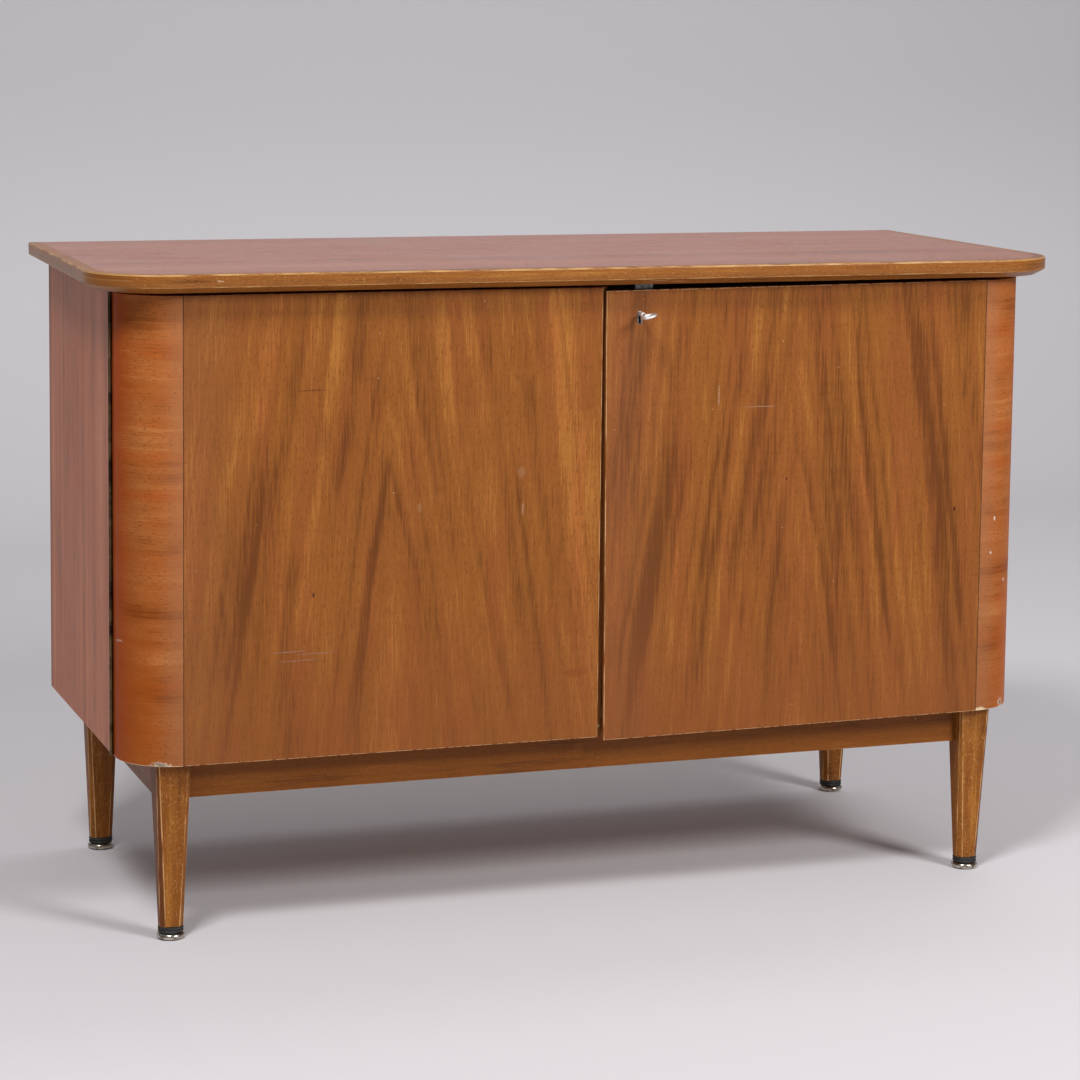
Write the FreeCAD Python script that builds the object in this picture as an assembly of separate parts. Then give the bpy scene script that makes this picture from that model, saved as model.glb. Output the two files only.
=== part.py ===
"""Two-door cabinet on tapered legs, built as separate pieces in millimetres.

The origin is on the floor, midway across and midway front to back, with +Z up.
The doors face -Y. Depths are counted back from the plane of the door fronts.
"""
import FreeCAD, Part
import math
import os

V = FreeCAD.Vector

# Body
cabinet_height = 780.0
body_width = 1144.0
body_depth = 471.0
floor_clearance = 210.0

# Top: its sides splay outwards to the front
top_thickness = 22.0
top_front_overhang = 26.0
top_back_overhang = 2.0
top_side_overhang_front = 38.0
top_side_overhang_back = 25.0
top_corner_radius = 89.0
top_arris_radius = 2.5
top_bevel_height = 7.0
top_bevel_depth = 13.0
lipping_width = 15.0

# Doors
door_thickness = 17.0
door_corner_radius = 66.0
door_top_gap = 4.0
door_bottom_gap = 1.2
door_back_clearance = 2.0
meeting_gap = 8.0
lip_end_gap = 0.5
lip_setback = 8.5
rebate_setback = 7.5
rebate_width = 8.0

# Continuous hinges, with their axis just outside the side panels
hinge_setback = 77.0
knuckle_radius = 2.25
knuckle_count = 14
knuckle_gap = 0.3
hinge_pin_radius = 1.1
hinge_pin_clearance = 0.05
leaf_thickness = 1.0
leaf_gap = 0.5
leaf_edge_inset = 0.3
leaf_width = 15.5
hinge_screw_inset = 8.5
hinge_screw_head_radius = 2.8
hinge_screw_shank_radius = 1.4
hinge_screw_length = 16.0

# Wood screws: a head is so many times as wide as its shank
screw_head_share = 2.0
screw_slot_width = 0.6
screw_slot_depth = 0.4

# Carcass
bottom_thickness = 20.0
back_thickness = 5.0
back_rebate = 8.0
top_rail_thickness = 18.0
front_rail_depth = 100.0
back_rail_depth = 60.0
partition_thickness = 18.0
partition_setback = 40.0
shelf_thickness = 16.0
shelf_depth = 330.0
shelf_end_gap = 1.0
shelf_back_gap = 2.0
shelf_pin_radius = 2.5
shelf_pin_play = 0.05
shelf_pin_length = 16.0
shelf_pin_inset = 40.0
shelf_pin_pitch = 60.0
shelf_pin_rows = 3
shelf_row_used = 1
shelf_first_row = 190.0
cleat_width = 20.0
cleat_screw_inset = 30.0
cleat_side_screw_inset = 60.0
cleat_screw_radius = 2.0
cleat_screw_length = 32.0

# Underframe
leg_side_inset = 58.0
leg_front_setback = 35.0
leg_back_inset = 25.0
leg_top_width = 41.0
leg_top_depth = 40.0
leg_foot_width = 28.0
leg_foot_depth = 21.0
leg_top_chamfer = 3.0
leg_foot_chamfer = 5.6
apron_height = 44.0
apron_thickness = 18.0
front_apron_setback = 32.0
side_apron_setback = 42.5
corner_block_side = 70.0
corner_block_height = 25.0
block_screw_radius = 2.5
block_screw_head_radius = 5.0
block_screw_head_height = 3.0
block_screw_length = 38.0
block_screw_inset = 24.0

# Glides
glide_cup_radius = 16.5
glide_cup_height = 8.0
glide_flat_radius = 12.0
glide_shoulder_radius = 15.0
glide_shoulder_height = 1.2
glide_band_start = 2.8
glide_band_end = 5.4
glide_ring_radius = 15.0
glide_ring_height = 7.2
glide_ring_edge = 1.5
glide_nail_radius = 1.5
glide_nail_length = 20.0

# Lock in the right door
key_offset = 46.5
key_drop = 32.7
lock_centre_offset = 54.5
lock_case_width = 47.0
lock_case_height = 48.0
lock_case_skin = 6.0
lock_case_wall = 1.5
lock_plate_width = 59.0
lock_plate_thickness = 1.5
lock_screw_radius = 1.5
lock_screw_head_radius = 2.25
lock_screw_length = 8.0
lock_screw_inset = 3.0
lock_screw_rise = 12.0
bolt_width = 23.0
bolt_thickness = 6.0
bolt_stand = 3.5
bolt_throw = 4.5
bolt_play = 0.3
bolt_setback = 8.0
strike_plate_length = 62.0
strike_plate_width = 14.0
strike_plate_thickness = 2.0
strike_slot_play = 1.0
strike_screw_radius = 1.5
strike_screw_length = 10.0
strike_screw_inset = 8.0

# Key and keyhole
key_stem_radius = 2.25
key_stem_end = 14.0
key_reach = 40.0
key_bow_radius = 10.0
key_bow_hole_radius = 5.6
key_bow_thickness = 2.4
key_bow_tilt_degrees = 15.0
key_collar_radius = 3.2
key_collar_length = 3.0
key_collar_reach = 12.0
key_bit_reach = 8.0
key_bit_width = 4.0
key_bit_thickness = 2.0
key_bit_setback = 8.5
key_play = 0.1
liner_radius = 3.3
liner_height = 16.0
liner_depth = 5.0
liner_stand = 0.3
liner_centre_drop = 4.3
liner_slot_width = 2.6
liner_slot_margin = 1.5

# Magnet catch for the left door
magnet_width = 40.0
magnet_depth = 16.0
magnet_height = 13.0
magnet_screw_radius = 1.5
magnet_screw_inset = 5.0
magnet_screw_length = 24.0
catch_plate_left = 8.0
catch_plate_right = 7.0
catch_plate_foot = 3.0
catch_plate_height = 32.0
catch_plate_thickness = 1.2
catch_screw_radius = 1.2
catch_screw_head_radius = 2.5
catch_screw_head_height = 1.0
catch_lip_screw_offset = 3.75
catch_lip_screw_rise = 12.0
catch_door_screw_offset = -4.0
catch_door_screw_rise = 29.0
catch_door_screw_length = 8.0

# Overrun of cutting tools past the faces they cut
overrun = 1.0

# Derived planes and sizes
half_body = body_width / 2
front = -(body_depth + top_back_overhang - key_reach) / 2
top_underside = cabinet_height - top_thickness
door_bottom = floor_clearance + door_bottom_gap
door_top = top_underside - door_top_gap
door_height = door_top - door_bottom
seam_x = half_body - door_corner_radius
side_thickness = door_thickness + door_back_clearance
inner_half = half_body - side_thickness
carcass_front = door_thickness + door_back_clearance
carcass_corner_radius = door_corner_radius - carcass_front
leaf_seat = leaf_gap / 2 + leaf_thickness
hinge_x = half_body + knuckle_radius
knuckle_pitch = door_height / knuckle_count
back_face = body_depth - back_thickness
floor_top = floor_clearance + bottom_thickness
cleat_start = carcass_front + front_rail_depth
cleat_end = back_face - back_rail_depth
rail_underside = top_underside - top_rail_thickness
half_partition = partition_thickness / 2
glide_height = glide_cup_height + glide_ring_height
leg_x = half_body - leg_side_inset
leg_back_setback = body_depth - leg_back_inset
leg_places = [(side * leg_x, depth) for side in (-1, 1) for depth in (leg_front_setback, leg_back_setback)]
key_z = door_top - key_drop
bolt_depth = bolt_setback + bolt_thickness / 2
bolt_top = door_top + bolt_stand
bolt_foot = key_z + key_bit_reach + bolt_throw + bolt_play


def behind(depth):
    """Y coordinate of a plane that lies this far behind the door fronts."""
    return front + depth


def block(x0, x1, depth0, depth1, z0, z1):
    """Rectangular block between two X, two depths and two heights."""
    size = (x1 - x0, depth1 - depth0, z1 - z0)
    return Part.makeBox(*size, V(x0, behind(depth0), z0))


def rod(radius, length, x, depth, z, direction):
    """Round rod that starts at a point and runs along a direction."""
    return Part.makeCylinder(radius, length, V(x, behind(depth), z), direction)


def mirrored(shape):
    """The same shape on the other side of the middle plane."""
    return shape.mirror(V(0, 0, 0), V(1, 0, 0))


def rounded_wire(corners, radii, z):
    """Closed outline through (x, depth) corners, each rounded by its own radius."""
    points = [V(x, behind(depth), z) for x, depth in corners]
    count = len(points)
    entries, exits, arcs = [], [], []
    for i, (point, radius) in enumerate(zip(points, radii)):
        to_last = (points[i - 1] - point).normalize()
        to_next = (points[(i + 1) % count] - point).normalize()
        half_angle = to_last.getAngle(to_next) / 2
        tangent = radius / math.tan(half_angle)
        middle = (to_last + to_next).normalize()
        reach = radius / math.sin(half_angle) - radius
        entries.append(point + to_last * tangent)
        exits.append(point + to_next * tangent)
        arcs.append(point + middle * reach)
    edges = []
    for i in range(count):
        if radii[i] > 0:
            edges.append(Part.Arc(entries[i], arcs[i], exits[i]).toShape())
        edges.append(Part.LineSegment(exits[i], entries[(i + 1) % count]).toShape())
    return Part.Wire(edges)


def prism(wire, height):
    """Upright solid on a flat outline."""
    return Part.Face(wire).extrude(V(0, 0, height))


def top_wire(inset, z):
    """Outline of the top, drawn in from its front and sides by an inset."""
    front_x = half_body + top_side_overhang_front - inset
    back_x = half_body + top_side_overhang_back - inset
    near = inset - top_front_overhang
    far = body_depth + top_back_overhang
    corners = [(-back_x, far), (-front_x, near), (front_x, near), (back_x, far)]
    radius = top_corner_radius - inset
    return rounded_wire(corners, [0, radius, radius, 0], z)


def carcass_wire(depth_end, z):
    """Outline of a board that fills the front of the body and follows the door corners."""
    corners = [(-inner_half, depth_end), (-inner_half, carcass_front)]
    corners += [(inner_half, carcass_front), (inner_half, depth_end)]
    return rounded_wire(corners, [0, carcass_corner_radius, carcass_corner_radius, 0], z)


def slotted_screw(head_radius, head_height, shank_radius, length):
    """Countersunk screw with its head's face at the origin, pointing along +Z."""
    head = Part.makeCone(head_radius, shank_radius, head_height)
    shank = Part.makeCylinder(shank_radius, length)
    slot_size = (2 * head_radius, screw_slot_width, screw_slot_depth)
    slot = Part.makeBox(*slot_size, V(-head_radius, -screw_slot_width / 2, 0))
    return head.fuse(shank).cut(slot).removeSplitter()


def placed(shape, x, depth, z, direction):
    """Copy of a shape drawn along +Z, moved to a point and turned to a direction."""
    copy = shape.copy()
    copy.Placement = FreeCAD.Placement(V(x, behind(depth), z), FreeCAD.Rotation(V(0, 0, 1), direction))
    return copy


# Hinge screws and what they pass through

def hinge_screw_heights():
    """One screw beside every second knuckle."""
    pairs = knuckle_count // 2
    return [door_bottom + (2 * i + 1) * knuckle_pitch for i in range(pairs)]


def hinge_screws(side, facing):
    """Screws of one leaf: facing +1 into the side panel, -1 into the door corner."""
    screw = slotted_screw(hinge_screw_head_radius, leaf_thickness, hinge_screw_shank_radius,
                          hinge_screw_length)
    x = side * (half_body - hinge_screw_inset)
    depth = hinge_setback + facing * leaf_gap / 2
    return [placed(screw, x, depth, z, V(0, facing, 0)) for z in hinge_screw_heights()]


def hinge_screw_holes(side, facing):
    """Holes for the same screws, with no slot left standing in them."""
    head = Part.makeCone(hinge_screw_head_radius, hinge_screw_shank_radius, leaf_thickness)
    tool = head.fuse(Part.makeCylinder(hinge_screw_shank_radius, hinge_screw_length))
    x = side * (half_body - hinge_screw_inset)
    depth = hinge_setback + facing * leaf_gap / 2
    return [placed(tool, x, depth, z, V(0, facing, 0)) for z in hinge_screw_heights()]


def hinge_leaf(side, facing):
    """Leaf with every second knuckle, bored for the pin and for its screws."""
    near = hinge_setback + leaf_gap / 2
    far = near + leaf_thickness
    if facing < 0:
        far = hinge_setback - leaf_gap / 2
        near = far - leaf_thickness
    outer = half_body - leaf_edge_inset
    leaf = block(outer - leaf_width, outer, near, far, door_bottom, door_top)
    first = 0 if facing > 0 else 1
    parts = []
    for i in range(first, knuckle_count, 2):
        z0 = door_bottom + i * knuckle_pitch + knuckle_gap / 2
        length = knuckle_pitch - knuckle_gap
        parts.append(rod(knuckle_radius, length, hinge_x, hinge_setback, z0, V(0, 0, 1)))
        parts.append(block(outer, hinge_x, near, far, z0, z0 + length))
    leaf = leaf.fuse(parts).removeSplitter()
    bore_radius = hinge_pin_radius + hinge_pin_clearance
    bore_length = door_height + 2 * overrun
    bore = rod(bore_radius, bore_length, hinge_x, hinge_setback, door_bottom - overrun, V(0, 0, 1))
    leaf = leaf.cut(bore)
    if side < 0:
        leaf = mirrored(leaf)
    return leaf.cut(hinge_screw_holes(side, facing))


def hinge_pin(side):
    """Pin through all the knuckles of one hinge."""
    return rod(hinge_pin_radius, door_height, side * hinge_x, hinge_setback, door_bottom, V(0, 0, 1))


# Top and carcass

def strike_slot(z0, z1):
    """Space round the bolt between two heights."""
    half = bolt_width / 2 + strike_slot_play
    near = bolt_setback - strike_slot_play
    far = bolt_setback + bolt_thickness + strike_slot_play
    return block(lock_centre_offset - half, lock_centre_offset + half, near, far, z0, z1)


def strike_pocket():
    """Recess under the top for the strike plate, and the deeper hole for the bolt."""
    return strike_blank().fuse(strike_slot(top_underside, bolt_top + bolt_throw + strike_slot_play))


def strike_blank():
    """Strike plate before its slot and screw holes are cut."""
    half = strike_plate_length / 2
    near = bolt_depth - strike_plate_width / 2
    far = bolt_depth + strike_plate_width / 2
    z1 = top_underside + strike_plate_thickness
    return block(lock_centre_offset - half, lock_centre_offset + half, near, far, top_underside, z1)


def strike_screw_places():
    """X of the strike plate's two screws."""
    reach = strike_plate_length / 2 - strike_screw_inset
    return [lock_centre_offset - reach, lock_centre_offset + reach]


def strike_screws(as_holes):
    """Countersunk screws of the strike plate, or the holes that they fill."""
    head_radius = screw_head_share * strike_screw_radius
    if as_holes:
        head = Part.makeCone(head_radius, strike_screw_radius, strike_plate_thickness)
        screw = head.fuse(Part.makeCylinder(strike_screw_radius, strike_screw_length))
    else:
        screw = slotted_screw(head_radius, strike_plate_thickness, strike_screw_radius, strike_screw_length)
    return [placed(screw, x, bolt_depth, top_underside, V(0, 0, 1)) for x in strike_screw_places()]


def strike_plate():
    """Plate with a slot that lets the bolt through."""
    slot = strike_slot(top_underside - overrun, top_underside + strike_plate_thickness + overrun)
    return strike_blank().cut([slot] + strike_screws(True))


def cleat_screw_places(inset):
    """Depths of a cleat's two screws, this far from its ends."""
    return [cleat_start + inset, cleat_end - inset]


def cleat_screws(as_holes):
    """Screws up into the top and out into the side panels, or their holes."""
    head_radius = screw_head_share * cleat_screw_radius
    head_height = cleat_screw_radius
    if as_holes:
        head = Part.makeCone(head_radius, cleat_screw_radius, head_height)
        screw = head.fuse(Part.makeCylinder(cleat_screw_radius, cleat_screw_length))
    else:
        screw = slotted_screw(head_radius, head_height, cleat_screw_radius, cleat_screw_length)
    screws = []
    for side in (-1, 1):
        x = side * (inner_half - cleat_width / 2)
        for depth in cleat_screw_places(cleat_screw_inset):
            screws.append(placed(screw, x, depth, top_underside - cleat_width, V(0, 0, 1)))
        face = side * (inner_half - cleat_width)
        for depth in cleat_screw_places(cleat_side_screw_inset):
            screws.append(placed(screw, face, depth, top_underside - cleat_width / 2, V(side, 0, 0)))
    return screws


def top_cleats():
    """Two cleats between the rails, in the corners of the side panels and the top."""
    x0, x1 = inner_half - cleat_width, inner_half
    right = block(x0, x1, cleat_start, cleat_end, top_underside - cleat_width, top_underside)
    holes = cleat_screws(True)
    return Part.makeCompound([right.cut(holes), mirrored(right).cut(holes)])


def top_panel():
    """Veneered board inside the lipping."""
    core = prism(top_wire(lipping_width, top_underside), top_thickness)
    return core.cut([strike_pocket()] + strike_screws(True) + cleat_screws(True))


def top_edge_lipping():
    """Solid wood band round the front and sides: rounded above, bevelled below."""
    bevel_top = top_underside + top_bevel_height
    upper = prism(top_wire(0, bevel_top), top_thickness - top_bevel_height)
    rims = [edge for edge in upper.Edges if is_top_rim(edge)]
    upper = upper.makeFillet(top_arris_radius, rims)
    lower = Part.makeLoft([top_wire(top_bevel_depth, top_underside), top_wire(0, bevel_top)], True, True)
    core = prism(top_wire(lipping_width, top_underside), top_thickness)
    return upper.fuse(lower).cut(core).removeSplitter()


def is_top_rim(edge):
    """True for the upper edges along the front and the sides of the top."""
    middle = edge.CenterOfMass
    return middle.z > cabinet_height - top_arris_radius and middle.y < behind(back_face)


def side_panel(side):
    """Flat side from the hinge to the back, rebated for the back panel."""
    near = hinge_setback + leaf_seat
    panel = block(inner_half, half_body, near, body_depth, floor_clearance, top_underside)
    rebate = block(inner_half - overrun, inner_half + back_rebate, back_face, body_depth + overrun,
                   floor_clearance - overrun, top_underside + overrun)
    panel = panel.cut(rebate)
    if side < 0:
        panel = mirrored(panel)
    tools = hinge_screw_holes(side, 1) + cleat_screws(True)
    return panel.cut(tools + shelf_pin_holes(side * inner_half, side))


def bottom_panel():
    """Floor of the body, rounded in front to clear the door corners."""
    board = prism(carcass_wire(back_face, floor_clearance), bottom_thickness)
    return board.cut(block_screws(True) + magnet_screws(True))


def back_panel():
    """Thin board in the rebates of the side panels."""
    half = inner_half + back_rebate
    return block(-half, half, back_face, body_depth, floor_clearance, top_underside)


def top_rail_front():
    """Rail under the front of the top, rounded to clear the door corners."""
    return prism(carcass_wire(carcass_front + front_rail_depth, rail_underside), top_rail_thickness)


def top_rail_back():
    """Rail under the back of the top."""
    near = back_face - back_rail_depth
    return block(-inner_half, inner_half, near, back_face, rail_underside, top_underside)


def centre_partition():
    """Upright board between the two compartments."""
    near = carcass_front + partition_setback
    board = block(-half_partition, half_partition, near, back_face, floor_top, rail_underside)
    holes = shelf_pin_holes(-half_partition, 1) + shelf_pin_holes(half_partition, -1)
    return board.cut(holes)


# Shelves

def shelf_row_height(row):
    """Underside of a shelf that rests on this row of pins."""
    return floor_top + shelf_first_row + row * shelf_pin_pitch


def shelf_pin_depths():
    """Depths of the front and the back pin of a shelf."""
    far = back_face - shelf_back_gap
    return [far - shelf_depth + shelf_pin_inset, far - shelf_pin_inset]


def shelf_pin_holes(face_x, into):
    """Blind holes for shelf pins in one upright face."""
    radius = shelf_pin_radius + shelf_pin_play
    holes = []
    for row in range(shelf_pin_rows):
        z = shelf_row_height(row) - shelf_pin_radius
        for depth in shelf_pin_depths():
            holes.append(rod(radius, shelf_pin_length / 2, face_x, depth, z, V(into, 0, 0)))
    return holes


def shelf_pins():
    """Eight pins, each half in its hole and half under a shelf."""
    z = shelf_row_height(shelf_row_used) - shelf_pin_radius
    pins = []
    for face_x, into in ((-inner_half, -1), (-half_partition, 1), (half_partition, -1), (inner_half, 1)):
        start = face_x + into * shelf_pin_length / 2
        for depth in shelf_pin_depths():
            pins.append(rod(shelf_pin_radius, shelf_pin_length, start, depth, z, V(-into, 0, 0)))
    return Part.makeCompound(pins)


def shelf(side):
    """Loose shelf of one compartment."""
    x0 = half_partition + shelf_end_gap
    x1 = inner_half - shelf_end_gap
    far = back_face - shelf_back_gap
    z0 = shelf_row_height(shelf_row_used)
    board = block(x0, x1, far - shelf_depth, far, z0, z0 + shelf_thickness)
    return board if side > 0 else mirrored(board)


# Doors

def door_corner(side):
    """Quarter-round corner of a door, from the seam to the hinge."""
    rear = hinge_setback - leaf_seat
    inner_x = half_body - door_thickness
    inner_radius = door_corner_radius - door_thickness
    turn = math.sqrt(0.5)
    outer_mid = V(seam_x + door_corner_radius * turn, behind(door_corner_radius * (1 - turn)), door_bottom)
    inner_mid = V(seam_x + inner_radius * turn, behind(door_corner_radius - inner_radius * turn), door_bottom)
    points = [(seam_x, 0), (half_body, door_corner_radius), (half_body, rear)]
    points += [(inner_x, rear), (inner_x, door_corner_radius), (seam_x, door_thickness)]
    a, b, c, d, e, f = [V(x, behind(depth), door_bottom) for x, depth in points]
    edges = [Part.Arc(a, outer_mid, b).toShape(), Part.LineSegment(b, c).toShape()]
    edges += [Part.LineSegment(c, d).toShape(), Part.LineSegment(d, e).toShape()]
    edges += [Part.Arc(e, inner_mid, f).toShape(), Part.LineSegment(f, a).toShape()]
    corner = prism(Part.Wire(edges), door_height)
    if side < 0:
        corner = mirrored(corner)
    return corner.cut(hinge_screw_holes(side, -1))


def left_door_panel():
    """Flat front of the left door, which reaches the middle of the body."""
    panel = block(-seam_x, 0, 0, door_thickness, door_bottom, door_top)
    return panel.cut(catch_screws(True))


def left_door_lip():
    """Strip on the left door's edge that lies behind the gap between the doors."""
    width = meeting_gap - lip_end_gap
    lip = block(0, width, lip_setback, door_thickness, door_bottom, door_top)
    return lip.cut(catch_screws(True))


def right_door_panel():
    """Flat front of the right door, rebated at its edge and cut for the lock."""
    panel = block(meeting_gap, seam_x, 0, door_thickness, door_bottom, door_top)
    rebate = block(meeting_gap - overrun, meeting_gap + rebate_width, rebate_setback,
                   door_thickness + overrun, door_bottom - overrun, door_top + overrun)
    tools = [rebate, lock_envelope(), keyhole_outline(0, lock_case_skin + overrun)]
    return panel.cut(tools + lock_screws(True))


# Lock

def lock_envelope():
    """Space that the lock case and its plate fill in the door."""
    half_case = lock_case_width / 2
    half_plate = lock_plate_width / 2
    z0 = door_top - lock_case_height
    case = block(lock_centre_offset - half_case, lock_centre_offset + half_case,
                 lock_case_skin, door_thickness, z0, door_top)
    plate = block(lock_centre_offset - half_plate, lock_centre_offset + half_plate,
                  door_thickness - lock_plate_thickness, door_thickness, z0, door_top)
    return case.fuse(plate)


def lock_screws(as_holes):
    """Screws through the ears of the lock's plate, or their holes."""
    if as_holes:
        head = Part.makeCone(lock_screw_head_radius, lock_screw_radius, lock_plate_thickness)
        screw = head.fuse(Part.makeCylinder(lock_screw_radius, lock_screw_length))
    else:
        screw = slotted_screw(lock_screw_head_radius, lock_plate_thickness, lock_screw_radius,
                              lock_screw_length)
    reach = lock_plate_width / 2 - lock_screw_inset
    bottom = door_top - lock_case_height
    heights = (bottom + lock_screw_rise, door_top - lock_screw_rise)
    places = [(lock_centre_offset + s * reach, z) for s in (-1, 1) for z in heights]
    return [placed(screw, x, door_thickness, z, V(0, -1, 0)) for x, z in places]


def keyhole_outline(depth0, depth1):
    """Upright obround of the keyhole liner, as a solid between two depths."""
    reach = liner_height / 2 - liner_radius
    centre = key_z - liner_centre_drop
    length = depth1 - depth0
    ends = [rod(liner_radius, length, key_offset, depth0, centre + s * reach, V(0, 1, 0)) for s in (-1, 1)]
    x0, x1 = key_offset - liner_radius, key_offset + liner_radius
    middle = block(x0, x1, depth0, depth1, centre - reach, centre + reach)
    return middle.fuse(ends).removeSplitter()


def keyhole_tool(depth0, depth1):
    """Round hole for the stem with the slot for the bit under it."""
    radius = key_stem_radius + key_play
    foot = key_z - liner_centre_drop - liner_height / 2 + liner_slot_margin
    half = liner_slot_width / 2
    hole = rod(radius, depth1 - depth0, key_offset, depth0, key_z, V(0, 1, 0))
    return hole.fuse(block(key_offset - half, key_offset + half, depth0, depth1, foot, key_z))


def keyhole_liner():
    """Metal lining of the keyhole, just proud of the door."""
    hole = keyhole_tool(-liner_stand - overrun, liner_depth + overrun)
    return keyhole_outline(-liner_stand, liner_depth).cut(hole)


def lock_case():
    """Hollow case let into the back of the door, open above for the bolt."""
    half = lock_case_width / 2 - lock_case_wall
    z0 = door_top - lock_case_height + lock_case_wall
    hollow = block(lock_centre_offset - half, lock_centre_offset + half, lock_case_skin + lock_case_wall,
                   door_thickness - lock_plate_thickness, z0, door_top - lock_case_wall)
    x0 = lock_centre_offset - bolt_width / 2 - bolt_play
    x1 = lock_centre_offset + bolt_width / 2 + bolt_play
    slot = block(x0, x1, bolt_setback - bolt_play, bolt_setback + bolt_thickness + bolt_play,
                 door_top - lock_case_wall - overrun, door_top + overrun)
    keyhole = keyhole_tool(lock_case_skin - overrun, lock_case_skin + lock_case_wall + overrun)
    return lock_envelope().removeSplitter().cut([hollow, slot, keyhole] + lock_screws(True))


def lock_bolt():
    """Flat bolt that rises out of the door's top edge, here part way out."""
    x0 = lock_centre_offset - bolt_width / 2
    return block(x0, x0 + bolt_width, bolt_setback, bolt_setback + bolt_thickness, bolt_foot, bolt_top)


def key():
    """Key with a round bow, turned so that its bow lies nearly level."""
    bow_depth = key_bow_radius - key_reach
    along = V(0, 1, 0)
    stem_start = bow_depth + key_bow_radius - (key_bow_radius - key_bow_hole_radius) / 2
    stem = rod(key_stem_radius, key_stem_end - stem_start, key_offset, stem_start, key_z, along)
    collar = rod(key_collar_radius, key_collar_length, key_offset, -key_collar_reach, key_z, along)
    z0 = key_z - key_bow_thickness / 2
    bow = rod(key_bow_radius, key_bow_thickness, key_offset, bow_depth, z0, V(0, 0, 1))
    bow = bow.cut(rod(key_bow_hole_radius, key_bow_thickness, key_offset, bow_depth, z0, V(0, 0, 1)))
    half_bit = key_bit_thickness / 2
    bit = block(key_offset, key_offset + key_bit_reach, key_bit_setback, key_bit_setback + key_bit_width,
                key_z - half_bit, key_z + half_bit)
    whole = stem.fuse([collar, bow, bit]).removeSplitter()
    whole.rotate(V(key_offset, 0, key_z), along, -key_bow_tilt_degrees)
    return whole


# Catch of the left door

def magnet_screws(as_holes):
    """Screws that hold the magnet down, or their holes."""
    head_radius = screw_head_share * magnet_screw_radius
    if as_holes:
        head = Part.makeCone(head_radius, magnet_screw_radius, magnet_screw_radius)
        screw = head.fuse(Part.makeCylinder(magnet_screw_radius, magnet_screw_length))
    else:
        screw = slotted_screw(head_radius, magnet_screw_radius, magnet_screw_radius, magnet_screw_length)
    reach = magnet_width / 2 - magnet_screw_inset
    depth = carcass_front + magnet_depth / 2
    z = floor_top + magnet_height
    return [placed(screw, s * reach, depth, z, V(0, 0, -1)) for s in (-1, 1)]


def catch_magnet():
    """Magnet in its case on the front of the bottom panel."""
    half = magnet_width / 2
    far = carcass_front + magnet_depth
    case = block(-half, half, carcass_front, far, floor_top, floor_top + magnet_height)
    return case.cut(magnet_screws(True))


def catch_plate():
    """Steel plate on the back of the left door, drawn to the magnet."""
    z0 = door_bottom + catch_plate_foot
    far = door_thickness + catch_plate_thickness
    plate = block(-catch_plate_left, catch_plate_right, door_thickness, far, z0, z0 + catch_plate_height)
    return plate.cut(catch_screws(True))


def catch_screws(as_holes):
    """Raised screw through the lip from the front, flush screw into the door from behind."""
    far = door_thickness + catch_plate_thickness
    lip_z = door_bottom + catch_lip_screw_rise
    door_z = door_bottom + catch_door_screw_rise
    out = V(0, -1, 0)
    lip_screw = rod(catch_screw_radius, far - lip_setback, catch_lip_screw_offset, far, lip_z, out)
    if as_holes:
        head = Part.makeCone(catch_screw_head_radius, catch_screw_radius, catch_plate_thickness)
        door_screw = head.fuse(Part.makeCylinder(catch_screw_radius, catch_door_screw_length))
        return [lip_screw, placed(door_screw, catch_door_screw_offset, far, door_z, out)]
    radius = catch_screw_head_radius
    x = catch_lip_screw_offset
    face = lip_setback - catch_screw_head_height
    head = rod(radius, catch_screw_head_height, x, lip_setback, lip_z, out)
    half_slot = screw_slot_width / 2
    slot = block(x - radius, x + radius, face, face + screw_slot_depth, lip_z - half_slot, lip_z + half_slot)
    lip_screw = lip_screw.fuse(head).removeSplitter().cut(slot)
    door_screw = slotted_screw(catch_screw_head_radius, catch_plate_thickness, catch_screw_radius,
                               catch_door_screw_length)
    return [lip_screw, placed(door_screw, catch_door_screw_offset, far, door_z, out)]


# Underframe

def leg_section(x, depth, z, level):
    """Chamfered rectangle of a leg, level 0 at the foot and 1 at the top."""
    width = leg_foot_width + (leg_top_width - leg_foot_width) * level
    deep = leg_foot_depth + (leg_top_depth - leg_foot_depth) * level
    cut = leg_foot_chamfer + (leg_top_chamfer - leg_foot_chamfer) * level
    w, d = width / 2, deep / 2
    rim = [(-w, cut - d), (cut - w, -d), (w - cut, -d), (w, cut - d)]
    rim += [(w, d - cut), (w - cut, d), (cut - w, d), (-w, d - cut)]
    points = [V(x + a, behind(depth) + b, z) for a, b in rim]
    return Part.makePolygon(points + points[:1])


def leg_blank(x, depth):
    """Tapered leg before its nail hole."""
    foot = leg_section(x, depth, glide_height, 0)
    head = leg_section(x, depth, floor_clearance, 1)
    return Part.makeLoft([foot, head], True, True)


def leg(x, depth):
    """Tapered leg with chamfers that widen towards the foot."""
    length = glide_nail_length
    return leg_blank(x, depth).cut(rod(glide_nail_radius, length, x, depth, glide_height, V(0, 0, 1)))


def apron(x0, x1, depth0, depth1):
    """Rail between two legs, fitted against their faces."""
    rail = block(x0, x1, depth0, depth1, floor_clearance - apron_height, floor_clearance)
    return rail.cut([leg_blank(x, depth) for x, depth in leg_places])


def apron_front():
    """Front rail of the underframe."""
    return apron(-leg_x, leg_x, front_apron_setback, front_apron_setback + apron_thickness)


def apron_back():
    """Back rail, as far from the back legs' faces as the front one is from the front's."""
    face = leg_back_setback + leg_front_setback - front_apron_setback
    return apron(-leg_x, leg_x, face - apron_thickness, face)


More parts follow.
